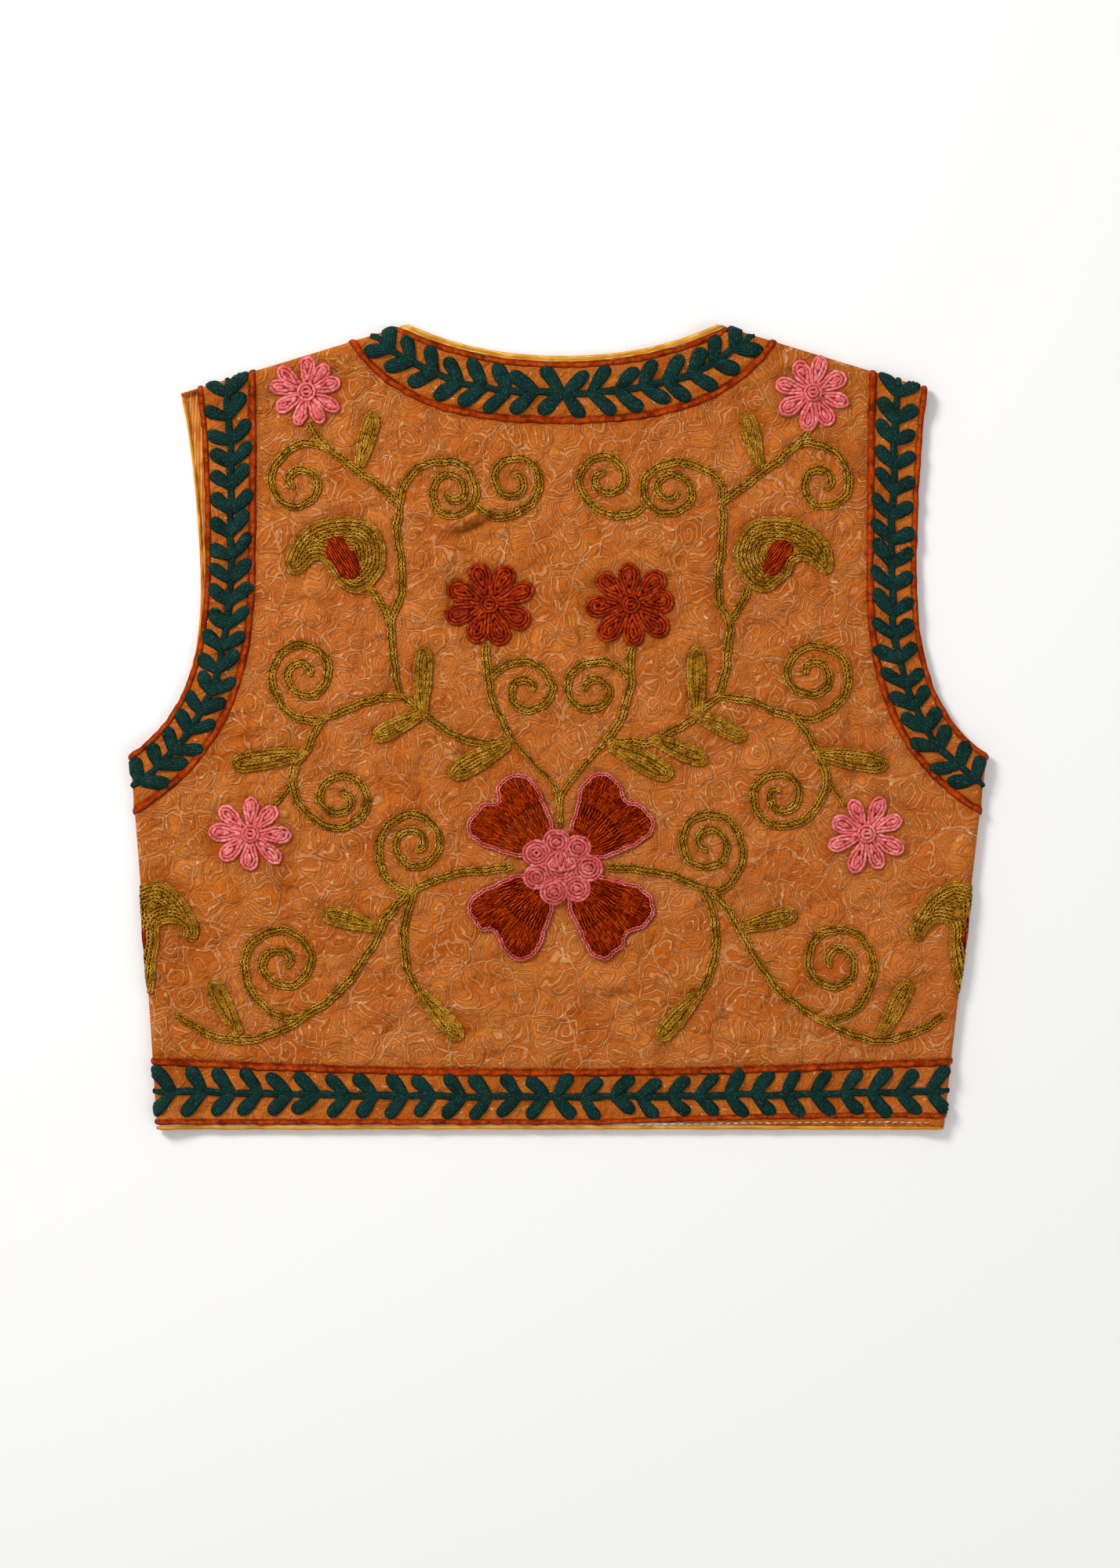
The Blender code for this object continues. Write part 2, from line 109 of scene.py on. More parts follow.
def srgb(code: str) -> Colour:
    """A display colour, written as six hex digits, as a linear colour."""
    parts = [int(code[i : i + 2], 16) / 255 for i in (0, 2, 4)]
    red, green, blue = (c / 12.92 if c <= 0.04045 else ((c + 0.055) / 1.055) ** 2.4 for c in parts)
    return red, green, blue, 1.0


# ---------------------------------------------------------------------------------------------
# Lines and surfaces
# ---------------------------------------------------------------------------------------------


class Path:
    """A smooth line across the cloth, read by the share of its length."""

    def __init__(self, points: Points, closed: bool = False) -> None:
        """Keeps the line.

        Args:
            points: close points along the line, one row each.
            closed: whether the last point joins the first.
        """
        self.points = np.asarray(points, float)
        if closed:
            self.points = np.vstack([self.points, self.points[:1]])
        self.closed = closed
        steps = np.linalg.norm(np.diff(self.points, axis=0), axis=1)
        self.runs = np.concatenate([[0.0], np.cumsum(steps)])

    @classmethod
    def bezier(cls, segments: Sequence[Sequence[tuple[float, float]]], count: int = 120) -> "Path":
        """A chain of cubic curves, each given by its four points.

        Args:
            segments: the four points of each curve.
            count: how many points each curve gets.

        Returns:
            The line.
        """
        t = np.linspace(0, 1, count)[:, None]
        rows = [
            (1 - t) ** 3 * np.array(a)
            + 3 * t * (1 - t) ** 2 * np.array(b)
            + 3 * t * t * (1 - t) * np.array(c)
            + t**3 * np.array(d)
            for a, b, c, d in segments
        ]
        return cls(np.vstack([rows[0]] + [row[1:] for row in rows[1:]]))

    @classmethod
    def through(cls, knots: Points, closed: bool = False, step: float = 0.5 * MM) -> "Path":
        """A smooth curve through a few given knots.

        Args:
            knots: the knots.
            closed: whether the last knot joins the first.
            step: the distance between points.

        Returns:
            The line.
        """
        knots = np.asarray(knots, float)
        count = len(knots)
        if closed:
            padded = np.vstack([knots[-1:], knots, knots[:2]])
            spans = count
        else:
            first, last = 2 * knots[0] - knots[1], 2 * knots[-1] - knots[-2]
            padded = np.vstack([first, knots, last])
            spans = count - 1
        rows = []
        for i in range(spans):
            a, b, c, d = padded[i : i + 4]
            t = np.linspace(0, 1, max(int(np.linalg.norm(c - b) / step), 3), endpoint=False)[:, None]
            rows.append(
                0.5
                * (2 * b + (c - a) * t + (2 * a - 5 * b + 4 * c - d) * t**2 + (3 * b - a - 3 * c + d) * t**3)
            )
        if not closed:
            rows.append(knots[-1:])
        return cls(np.vstack(rows), closed)

    @property
    def length(self) -> float:
        """The line's length in metres."""
        return float(self.runs[-1])

    def at(self, shares: Points) -> Points:
        """The points at those shares of the length."""
        target = np.clip(shares, 0, 1) * self.length
        return np.column_stack([np.interp(target, self.runs, self.points[:, k]) for k in (0, 1)])

    def tangents(self, shares: Points) -> Points:
        """The unit directions along the line at those shares.

        Args:
            shares: where along the line.

        Returns:
            One direction for each share.
        """
        step = 0.4 * MM / self.length
        shares = np.asarray(shares, float)
        if self.closed:
            ahead = self.at((shares + step) % 1.0) - self.at((shares - step) % 1.0)
        else:
            ahead = self.at(shares + step) - self.at(shares - step)
        return ahead / np.maximum(np.linalg.norm(ahead, axis=1), 1e-12)[:, None]

    def beside(
        self,
        shares: Points,
        offset: float,
        start_fold: Points | None = None,
        end_fold: Points | None = None,
    ) -> Points:
        """Points beside the line, offset to its left. At a fold they slide along the fold.

        Args:
            shares: where along the line.
            offset: how far to the left, in metres.
            start_fold: the fold's direction at the start, if the line starts on a fold.
            end_fold: the fold's direction at the end, if the line ends on one.

        Returns:
            One point for each share.
        """
        along = self.tangents(shares)
        normals = np.column_stack([-along[:, 1], along[:, 0]])
        for index, fold in ((0, start_fold), (-1, end_fold)):
            if fold is not None:
                normals[index] = fold / float(np.dot(fold, normals[index]))
        return self.at(shares) + normals * offset


def nearest(points: Points, targets: Points, block: int = 4000) -> Points:
    """The distance from each point to the nearest target.

    Args:
        points: the points.
        targets: what they are measured to.
        block: how many points are taken at a time.

    Returns:
        One distance for each point.
    """
    out = np.empty(len(points))
    for start in range(0, len(points), block):
        gap = points[start : start + block, None, :] - targets[None, :, :]
        out[start : start + block] = np.sqrt((gap**2).sum(2).min(1))
    return out


def unit(x: float, y: float) -> Points:
    """The unit vector along (x, y)."""
    return np.array([x, y]) / math.hypot(x, y)


@dataclass(frozen=True)
class Cut:
    """The cut of the waistcoat, the same as its solids have, on a symmetric right half."""

    hem_y: float
    neck_point_y: float
    hem_half_width: float = 0.2205
    side_flare: float = 0.085
    side_curve: float = 0.0444
    side_foot: float = 0.0035
    underarm_y: float = -0.0150
    neck_half_width: float = 0.0873
    neck_centre_y: float = 0.2080
    tip: tuple[float, float] = (0.2043, 0.1900)
    armhole_half_width: float = 0.1993
    armhole_waist_y: float = 0.0900
    lean: float = 0.0166
    bend: float = 0.0267
    neck_seam_x: float = 0.1180
    neck_seam_centre_y: float = 0.1720
    armhole_seam_x: float = 0.1738
    armhole_seam_waist_x: float = 0.1731
    armhole_seam_side_y: float = -0.0470
    hem_seam_side_y: float = -0.1870
    hem_seam_sag: float = 0.0065
    front_neck_y: float = 0.0900
    front_band_width: float = 0.0300
    front_gap: float = 0.0020
    facing_show: float = 0.0095
    facing_end_y: float = 0.0

    def side_x(self, y: Points) -> Points:
        """The half width of the side fold at a height y."""
        rise = y - self.hem_y - self.side_foot
        return self.hem_half_width + self.side_flare * rise + self.side_curve * rise * np.abs(rise)

    def shoulder_y(self, x: float) -> float:
        """The height of the shoulder fold at a half width x."""
        slope = (self.neck_point_y - self.tip[1]) / (self.tip[0] - self.neck_half_width)
        return self.neck_point_y - slope * (x - self.neck_half_width)

    def lean_at(self, y: Points) -> Points:
        """How far the garment lies over to the right at a height y."""
        rise = y - self.underarm_y
        return self.lean * rise - self.bend * rise * rise

    def place(self, points: Points) -> Points:
        """Points of the cut where they lie."""
        return points + np.column_stack([self.lean_at(points[:, 1]), np.zeros(len(points))])

    def unplace(self, points: Points) -> Points:
        """The points of the cut that place() put there."""
        return points - np.column_stack([self.lean_at(points[:, 1]), np.zeros(len(points))])

    def side_fold(self, y: float) -> Points:
        """The right side fold's direction at a height y."""
        return unit(float(self.side_x(y + MM) - self.side_x(y - MM)), 2 * MM)

    @property
    def shoulder_fold(self) -> Points:
        """The right shoulder fold's direction, from the neck to the tip."""
        return unit(self.tip[0] - self.neck_half_width, self.tip[1] - self.neck_point_y)

    def fold_distance(self, points: Points) -> Points:
        """How far in from the nearest side fold or shoulder fold each point is.

        Args:
            points: points of the cut.

        Returns:
            One distance for each point, below nothing past a fold.
        """
        half, y = np.abs(points[:, 0]), points[:, 1]
        arm = float(self.side_x(self.underarm_y))
        lean = 2 * MM / np.hypot(self.side_x(y + MM) - self.side_x(y - MM), 2 * MM)
        side = np.where(
            y > self.underarm_y,
            np.hypot(half - arm, y - self.underarm_y),
            (self.side_x(y) - half) * lean,
        )
        fold = self.shoulder_fold
        across = np.column_stack([half - self.neck_half_width, y - self.neck_point_y])
        run = across @ fold
        reach = math.dist((self.neck_half_width, self.neck_point_y), self.tip) + 2 * self.facing_show
        away = across[:, 0] * fold[1] - across[:, 1] * fold[0]
        past = np.minimum(run, 0) + np.maximum(run - reach, 0)
        shoulder = np.where((run > 0) & (run < reach), away, np.hypot(past, away))
        return np.minimum(side, shoulder)

    def armhole(self, end: Place, waist_x: float, top: Place, pulls: tuple[Place, Place]) -> Path:
        """A curve from the side up to the shoulder, upright at the armhole's waist.

        Args:
            end: its end on the side fold.
            waist_x: its half width at the waist.
            top: its end on the shoulder fold.
            pulls: the points that bend it at each end.

        Returns:
            The curve on the right.
        """
        waist = (waist_x, self.armhole_waist_y)
        low = (end, pulls[0], (waist_x, self.armhole_waist_y - 0.050), waist)
        high = (waist, (waist_x, self.armhole_waist_y + 0.035), pulls[1], top)
        return Path.bezier((low, high))

    def across_neck(self, end: Place, centre_y: float, centre_pull: float, pull: Place) -> Path:
        """A curve across the back from the left shoulder to the right.

        Args:
            end: its end on the right shoulder fold.
            centre_y: its height at the centre.
            centre_pull: how far it stays level from the centre.
            pull: the point that bends it at the end.

        Returns:
            The curve.
        """
        right = ((0.0, centre_y), (centre_pull, centre_y), pull, end)
        left = tuple((-x, y) for x, y in reversed(right))
        return Path.bezier((left, right))

    @cached_property
    def armhole_edge(self) -> Path:
        """The armhole's edge on the right."""
        end = (float(self.side_x(self.underarm_y)), self.underarm_y)
        return self.armhole(end, self.armhole_half_width, self.tip, ((0.2100, 0.0050), (0.2005, 0.1550)))

    @cached_property
    def armhole_seam(self) -> Path:
        """The seam between the back and its armhole band on the right."""
        end = (float(self.side_x(self.armhole_seam_side_y)), self.armhole_seam_side_y)
        top = (self.armhole_seam_x, self.shoulder_y(self.armhole_seam_x))
        return self.armhole(end, self.armhole_seam_waist_x, top, ((0.1800, -0.0120), (0.1728, 0.1600)))

    @cached_property
    def neck_edge(self) -> Path:
        """The neck's edge."""
        end = (self.neck_half_width, self.neck_point_y)
        return self.across_neck(end, self.neck_centre_y, 0.0350, (0.0600, 0.2140))

    @cached_property
    def neck_seam(self) -> Path:
        """The seam between the back and its neck band."""
        end = (self.neck_seam_x, self.shoulder_y(self.neck_seam_x))
        return self.across_neck(end, self.neck_seam_centre_y, 0.0600, (0.0950, 0.1830))

    @cached_property
    def hem_seam(self) -> Path:
        """The seam between the back and its hem band, sagging a little at the centre."""
        reach = float(self.side_x(self.hem_seam_side_y))
        t = np.linspace(-1, 1, 160)
        return Path(np.column_stack([reach * t, self.hem_seam_side_y - self.hem_seam_sag * (1 - t * t)]))

    @cached_property
    def hem_edge(self) -> Path:
        """The lower edge."""
        reach = float(self.side_x(self.hem_y))
        return Path(np.column_stack([np.linspace(-reach, reach, 60), np.full(60, self.hem_y)]))

    def neck_line(self, path: Path, shares: Points, offset: float) -> Points:
        """Points beside a neck curve, ending on the shoulder folds."""
        fold = self.shoulder_fold
        return path.beside(shares, offset, np.array([-fold[0], fold[1]]), fold)

    def hem_line(self, path: Path, shares: Points, offset: float, y: float) -> Points:
        """Points beside a hem curve, ending on the side folds."""
        fold = self.side_fold(y)
        return path.beside(shares, offset, np.array([-fold[0], fold[1]]), fold)

    def arm_line(self, path: Path, shares: Points, outward: float, y: float, side: Side) -> Points:
        """Points beside an armhole curve, from the side fold at y up to the shoulder fold."""
        points = path.beside(shares, -outward, self.side_fold(y), self.shoulder_fold)
        return points * np.array([side.value, 1])

    def facing_line(self, shares: Points, side: Side) -> Points:
        """A front's armhole edge, which stands out past the back on the left.

        Args:
            shares: where along the edge.
            side: the side of the waistcoat.

        Returns:
            One point for each share.
        """
        points = self.arm_line(self.armhole_edge, shares, 0.0, self.underarm_y, Side.RIGHT)
        tip_x, tip_y = self.tip
        share = np.clip((points[:, 1] - self.facing_end_y) / (tip_y - self.facing_end_y), 0, 1)
        if side is Side.LEFT:
            out = self.facing_show * share**1.6
        else:
            out = -1.5 * MM * np.minimum(share * 8, 1)
        drop = 0.02
        fall = np.array([self.shoulder_y(tip_x + o) - tip_y for o in out])
        points[:, 1] += fall * np.clip((points[:, 1] - tip_y + drop) / drop, 0, 1)
        points[:, 0] += out
        return points * np.array([side.value, 1])


# Swells, folds and pulls in the back. Each row is the centre x and y, the half length
# and the half width in millimetres, the turn in degrees, and the height, below nothing in a trough.
SWELLS = (
    (-54, 112, 34, 13, 25, 1.6),
    (60, 120, 30, 14, -30, 1.2),
    (-115, 70, 40, 15, -5, 1.2),
    (150, 20, 36, 14, 60, 1.4),
    (-160, -60, 45, 16, 80, 1.6),
    (20, -150, 60, 15, 8, 1.4),
    (-100, -150, 45, 16, 70, 1.2),
    (180, -140, 40, 14, 40, 1.8),
    (0, 40, 45, 18, 88, 1.0),
    (90, -60, 40, 16, -20, 1.1),
)
CREASES = (
    (-70, 111, 10, 2.4, -38, -1.2),
    (-50, 111.5, 14, 2.4, 21, -2.3),
    (-53, 116.5, 17, 3.0, 18, 1.5),
    (-58, 79, 3.0, 12, 8, -1.1),
    (-64, 80, 3.2, 13, 8, 0.7),
    (-127, 71, 14, 2.6, 2, -1.0),
    (-176, -6, 15, 2.4, 8, -0.9),
    (27, -150, 15, 2.8, 6, -1.0),
    (27, -144, 17, 3.4, 6, 0.7),
    (-34, -183, 10, 2.8, 22, -1.0),
    (6, -189, 7, 2.6, -12, -0.9),
    (207, -141, 9, 2.6, 42, -1.1),
    (172, -181, 12, 2.8, -14, -0.9),
    (62, 96, 16, 2.8, -18, -0.9),
    (120, 60, 13, 2.6, 15, -0.7),
    (-20, 92, 3.0, 15, -6, -0.6),
    (22, 118, 3.0, 12, 12, -0.7),
    (196, -46, 12, 2.6, -20, -0.8),
    (-205, -120, 2.8, 16, 6, -0.8),
    (-150, -92, 14, 2.8, -24, -0.7),
    (112, -92, 15, 2.8, 18, -0.7),
    (-30, -128, 13, 2.8, -10, -0.7),
    (58, -182, 9, 2.6, 10, -0.8),
    (-130, -182, 11, 2.6, -8, -0.8),
    (155, 108, 3.0, 13, -14, -0.7),
    (-158, 118, 3.0, 12, 10, -0.7),
)


@dataclass
class Lie:
    """How the waistcoat lies: the height of its cloth at every place.

    wall is the cloth's thickness in the solids, gap is the gap between solids, and fold_radius is
    the radius of the side and shoulder folds.
    """

    cut: Cut
    wall: float = 2.0 * MM
    gap: float = 0.3 * MM
    fold_radius: float = 3.6 * MM
    settle: float = 20.0 * MM
    snap: float = 0.06 * MM
    ditch_depth: float = 0.55 * MM
    ditch_width: float = 3.4 * MM
    ripple: float = 0.13 * MM
    crease: float = 1.9
    seams: Points | None = None
    edges: Points | None = None
    waves: list[tuple[float, float, float, float]] = field(default_factory=list)

    def __post_init__(self) -> None:
        """Draws the seeded ripples and samples the seams."""
        rng = np.random.default_rng(7)
        for _ in range(26):
            wavelength = rng.uniform(9, 26) * MM
            turn = rng.uniform(0, math.pi)
            k = 2 * math.pi / wavelength
            phase = rng.uniform(0, 6.3)
            self.waves.append((k * math.cos(turn), k * math.sin(turn), phase, wavelength / MM / 16))
        shares = np.linspace(0, 1, 260)
        arm = self.cut.armhole_seam.at(shares)
        rows = [self.cut.neck_seam.at(shares), self.cut.hem_seam.at(shares), arm, arm * [-1, 1]]
        self.seams = self.cut.place(np.vstack(rows))
        shares = np.linspace(0, 1, 90)
        self.edges = self.cut.place(np.vstack([self.cut.neck_edge.at(shares), self.cut.hem_edge.at(shares)]))

    @staticmethod
    def bumps(points: Points, table: Sequence[Sequence[float]]) -> Points:
        """The summed height of a table of soft bumps.

        Args:
            points: where the height is wanted.
            table: the bumps, one row each.

        Returns:
            One height for each point.
        """
        total = np.zeros(len(points))
        for x, y, long_half, wide_half, turn, height in table:
            c, s = math.cos(math.radians(turn)), math.sin(math.radians(turn))
            dx, dy = points[:, 0] - x * MM, points[:, 1] - y * MM
            along, across = (dx * c + dy * s) / (long_half * MM), (dy * c - dx * s) / (wide_half * MM)
            total += height * MM * np.exp(-(along**2) - across**2)
        return total

    def relief(self, points: Points) -> Points:
        """Creases, ripples and the ditches along the seams, at places on the surface.

        Args:
            points: places on the surface.

        Returns:
            One height for each place, below nothing in a ditch.
        """
        total = np.zeros(len(points))
        for kx, ky, phase, weight in self.waves:
            total += self.ripple * weight * np.sin(kx * points[:, 0] + ky * points[:, 1] + phase)
        total = total * np.clip(nearest(points, self.edges) / (18 * MM), 0.3, 1.0)
        total += self.bumps(points, CREASES) * self.crease
        near = nearest(points, self.seams)
        tucks = 0.38 * MM * np.sin(points[:, 0] / (3.1 * MM) + 2.2 * np.sin(points[:, 1] / (9 * MM)))
        total += tucks * np.exp(-((near - 7 * MM) / (6 * MM)) ** 2)
        return total - self.ditch_depth * np.exp(-((near / self.ditch_width) ** 2))

    def rounding(self, distance: Points) -> Points:
        """How far a fold's face is from its middle, at a distance in from its edge."""
        inward = self.fold_radius - np.clip(distance, 0, self.fold_radius)
        return np.sqrt(np.maximum(self.fold_radius**2 - inward**2, 0))

    def back(self, places: Points, relief: Points | None = None) -> Points:
        """The height of the back's right side, at places on the surface.

        Args:
            places: places on the surface.
            relief: the cloth's relief there, if it is already known.

        Returns:
            One height for each place.
        """
        points = self.cut.unplace(places)
        distance = np.maximum(self.cut.fold_distance(points) - self.snap, 0)
        radius = self.fold_radius
        settled = np.clip((distance - radius) / self.settle, 0, 1)
        resting = 2 * self.wall + self.gap + self.bumps(points, SWELLS)
        resting += (self.relief(places) if relief is None else relief) * np.minimum(settled * 2, 1)
        blend = 0.5 + 0.5 * np.cos(math.pi * settled)
        top = resting + np.maximum(2 * radius - resting, 0) * blend
        edge = radius + self.gap / 2 + self.rounding(distance) * (1 - self.gap / 2 / radius)
        return np.where(distance < radius, edge, top)

    def front(self, places: Points) -> Points:
        """The height of the fronts' right side, which looks down."""
        distance = np.maximum(self.cut.fold_distance(self.cut.unplace(places)) - self.snap, 0)
        drop = self.rounding(distance) * (1 - self.gap / 2 / self.fold_radius)
        return np.maximum(self.fold_radius - self.gap / 2 - drop, 0)

    def on_back(self, places: Points, lift: Points) -> Points:
        """Points standing off the back's right side, carried round its folds where they pass one.

        Args:
            places: where on the surface, one row each, before they wrap.
            lift: how far each stands off the cloth.

        Returns:
            One point in space for each place.
        """
        distance = self.cut.fold_distance(self.cut.unplace(places)) - self.snap
        step = 0.5 * MM
        slope = [
            self.cut.fold_distance(self.cut.unplace(places + shift))
            - self.cut.fold_distance(self.cut.unplace(places - shift))
            for shift in (np.array([step, 0]), np.array([0, step]))
        ]
        inward = np.column_stack(slope)
        inward /= np.maximum(np.linalg.norm(inward, axis=1), 1e-9)[:, None]
        radius = self.fold_radius
        height = self.back(places)
        level = np.where(distance < radius, 1 - np.clip(distance, 0, radius) / radius, 0.0)
        under = np.clip(-distance / radius, 0, 1.35)
        sunk = distance < 0
        flat = np.where(sunk, np.cos(under), level)
        upright = np.where(sunk, -np.sin(under), np.sqrt(1 - level**2))
        shift = np.where(sunk, radius * (1 - np.cos(under)) - distance, 0.0)
        height = np.where(sunk, radius * (1 - np.sin(under)), height)
        out = places + inward * (shift - flat * lift)[:, None]
        return np.column_stack([out, np.maximum(height + upright * lift, 0.05 * MM)])


# ---------------------------------------------------------------------------------------------
# Finishes
# ---------------------------------------------------------------------------------------------


class Sketch:
    """One material's nodes. Each call adds a node and returns its output socket."""

    def __init__(self, name: str) -> None:
        """Starts a Principled material."""
        self.material = bpy.data.materials.new(name)
        self.material.use_nodes = True
        self.tree = self.material.node_tree
        self.shader = self.tree.nodes["Principled BSDF"]

    def node(
        self, kind: str, inputs: dict[int | str, Value], out: int | str = 0, **settings: object
    ) -> Socket:
        """Adds a node.

        Args:
            kind: the node's type, without its ShaderNode prefix.
            inputs: socket name or index to a value or to another node's socket.
            out: which output to return.
            **settings: the node's own properties.

        Returns:
            The output socket.
        """
        made = self.tree.nodes.new("ShaderNode" + kind)
        for key, value in settings.items():
            setattr(made, key, value)
        for key, value in inputs.items():
            if isinstance(value, bpy.types.NodeSocket):
                self.tree.links.new(value, made.inputs[key])
            else:
                made.inputs[key].default_value = value
        return made.outputs[out]

    def math(self, operation: str, *values: Value, clamp: bool = False) -> Socket:
        """A Math node."""
        return self.node("Math", dict(enumerate(values)), operation=operation, use_clamp=clamp)

    def vector(self, operation: str, *values: Value) -> Socket:
        """A Vector Math node."""
        return self.node("VectorMath", dict(enumerate(values)), operation=operation)

    def scaled(self, vector: Socket, scale: float) -> Socket:
        """A vector times a number."""
        return self.node("VectorMath", {0: vector, "Scale": scale}, operation="SCALE")

    def noise(self, vector: Socket, scale: float, detail: float = 2.0, out: int = 0) -> Socket:
        """A Noise Texture. Its output 0 is a number and its output 1 a colour."""
        return self.node("TexNoise", {"Vector": vector, "Scale": scale, "Detail": detail}, out)

    def band(
        self, value: Value, low: float, high: float, to_low: float = 0.0, to_high: float = 1.0
    ) -> Socket:
        """A smooth step of a value from low to high."""
        inputs = {0: value, 1: low, 2: high, 3: to_low, 4: to_high}
        return self.node("MapRange", inputs, interpolation_type="SMOOTHSTEP")

    def mix(self, share: Value, one: Value, other: Value) -> Socket:
        """A mix of two colours."""
        return self.node("Mix", {0: share, 6: one, 7: other}, 2, data_type="RGBA")

    def line(self, value: Socket, pitch: Value, half_width: float) -> Socket:
        """Thin lines wherever a value passes a multiple of the pitch."""
        beat = self.math("PINGPONG", value, self.math("MULTIPLY", pitch, 0.5))
        return self.band(beat, half_width * 0.35, half_width, 1.0, 0.0)

    def attribute(self, name: str, out: str = "Fac") -> Socket:
        """A mesh attribute."""
        return self.node("Attribute", {}, out, attribute_name=name)

    def place(self) -> Socket:
        """Object coordinates in millimetres."""
        coordinates = self.node("TexCoord", {}, "Object")
        return self.scaled(coordinates, 1 / MM)

    def finish(
        self, colour: Value, height: Socket, roughness: Value, specular: float
    ) -> bpy.types.Material:
        """Connects the shader.

        Args:
            colour: the base colour.
            height: the bump's height in millimetres.
            roughness: how rough the surface is.
            specular: how strongly it reflects.

        Returns:
            The finished material.
        """
        bump = self.node("Bump", {"Height": height, "Distance": MM, "Strength": 1.0})
        self.tree.links.new(bump, self.shader.inputs["Normal"])
        for name, value in (("Base Color", colour), ("Roughness", roughness)):
            if isinstance(value, bpy.types.NodeSocket):
                self.tree.links.new(value, self.shader.inputs[name])
            else:
                self.shader.inputs[name].default_value = value
        self.shader.inputs["Specular IOR Level"].default_value = specular
        self.shader.inputs["Sheen Roughness"].default_value = 0.5
        return self.material


@dataclass(frozen=True)
class FiguredCloth:
    """Orange cloth with an all-over figure of pale raised lines: loops, spirals and strokes."""

    name: str = "figured orange cloth"
    deep: Colour = srgb("A84A04")
    ground: Colour = srgb("BC6014")
    pale: Colour = srgb("D2843F")
    blush: Colour = srgb("C26428")
    # Painted highlight colour for patches of the raised lines.
    line: Colour = srgb("D99C64")
    glint: Colour = srgb("EDC498")
    # Painted shade colour: the cloth is darkened towards it close to the stitches, along the seams and in
    # crease troughs.
    halo: Colour = srgb("8E4002")
    cell: float = 14.5
    line_width: float = 0.72
    line_height: float = 0.55
    show: float = 0.60
    weave: float = 1.25

    def figure(self, s: Sketch, place: Socket) -> tuple[Socket, Socket, Socket, Socket]:
        """The pattern of lines.

        Args:
            s: the material's nodes.
            place: coordinates in millimetres.

        Returns:
            The distance from the nearest line and from the cell's edge in millimetres, and two random
            numbers for each cell.
        """
        warp = s.vector("SUBTRACT", s.noise(place, 0.05, 1.0, out=1), (0.5, 0.5, 0.5))
        ruffle = s.vector("SUBTRACT", s.noise(place, 0.13, 1.0, out=1), (0.5, 0.5, 0.5))
        bent = s.vector("ADD", place, s.vector("ADD", s.scaled(warp, 15.0), s.scaled(ruffle, 4.5)))
        inputs = {"Vector": bent, "Scale": 1 / self.cell, "Randomness": 0.95}
        edge = s.node("TexVoronoi", inputs, feature="DISTANCE_TO_EDGE", voronoi_dimensions="2D")
        edge = s.math("MULTIPLY", edge, self.cell)
        cell = s.node("TexVoronoi", inputs, "Position", feature="F1", voronoi_dimensions="2D")
        chance = s.node("SeparateColor", {0: cell.node.outputs["Color"]}, 0).node.outputs
        red, green, blue = chance[0], chance[1], chance[2]
        parts = s.node("SeparateXYZ", {0: s.vector("SUBTRACT", bent, cell)}, 0).node.outputs
        x, y = parts[0], parts[1]
        radius = s.math("SQRT", s.math("ADD", s.math("MULTIPLY", x, x), s.math("MULTIPLY", y, y)))
        turn = s.math("DIVIDE", s.math("ARCTAN2", y, x), 2 * math.pi)

        pitch = s.math("MULTIPLY_ADD", red, 1.1, 1.35)
        nested = s.math("PINGPONG", s.math("MULTIPLY_ADD", blue, 2.5, edge), pitch)
        winding = s.math("MULTIPLY_ADD", s.math("ADD", turn, red), 3.2, radius)
        spiral = s.math("PINGPONG", winding, 1.6)
        heading = s.math("MULTIPLY", red, 2 * math.pi)
        along = s.math("MULTIPLY", x, s.math("COSINE", heading))
        along = s.math("MULTIPLY_ADD", y, s.math("SINE", heading), along)
        curved = s.math("MULTIPLY_ADD", s.math("MULTIPLY", radius, radius), 0.06, along)
        strokes = s.math("PINGPONG", curved, s.math("MULTIPLY_ADD", blue, 0.9, 1.3))
        strokes = s.math("ADD", strokes, s.band(edge, 0.8, 1.4, 3.0, 0.0))
        bare = s.math("PINGPONG", s.math("ADD", radius, 1.0), 2.3)

        reach = nested
        for other, start in ((spiral, 0.38), (strokes, 0.62), (bare, 0.82)):
            pick = s.band(green, start, start + 0.005)
            spread = s.math("SUBTRACT", other, reach)
            reach = s.math("MULTIPLY_ADD", spread, pick, reach)
        broken = s.band(s.noise(place, 0.09, 1.0), 0.44, 0.50, 2.0, 0.0)
        reach = s.math("MINIMUM", reach, s.math("ADD", edge, broken))
        sweep = dict(inputs, Scale=1 / 31)
        far = s.node("TexVoronoi", sweep, feature="DISTANCE_TO_EDGE", voronoi_dimensions="2D")
        reach = s.math("MINIMUM", reach, s.math("MULTIPLY", far, 31.0))
        return reach, edge, red, blue

    def make(self) -> bpy.types.Material:
        """Builds the material."""
        s = Sketch(self.name)
        place = s.place()
        reach, edge, red, blue = self.figure(s, place)
        lines = s.band(reach, self.line_width * 0.3, self.line_width, 1.0, 0.0)
        groove = s.band(reach, self.line_width * 0.8, self.line_width * 2.6, 1.0, 0.0)
        strength = s.band(s.noise(place, 0.12, 2.0), 0.34, 0.58, 0.35, 1.0)
        shown = s.math("MULTIPLY", lines, strength)

        turned = s.node("Mapping", {0: place, "Rotation": (0, 0, math.radians(38))})
        parts = s.node("SeparateXYZ", {0: turned}, 0).node.outputs
        grain = 2 * math.pi / self.weave
        one = s.math("SINE", s.math("MULTIPLY", parts[0], grain))
        other = s.math("SINE", s.math("MULTIPLY", parts[1], grain))
        patch = s.band(s.math("ADD", blue, s.noise(place, 0.2, 1.0)), 0.7, 1.1, 0.25, 1.0)
        weave = s.math("MULTIPLY", s.math("MULTIPLY", one, other), patch)

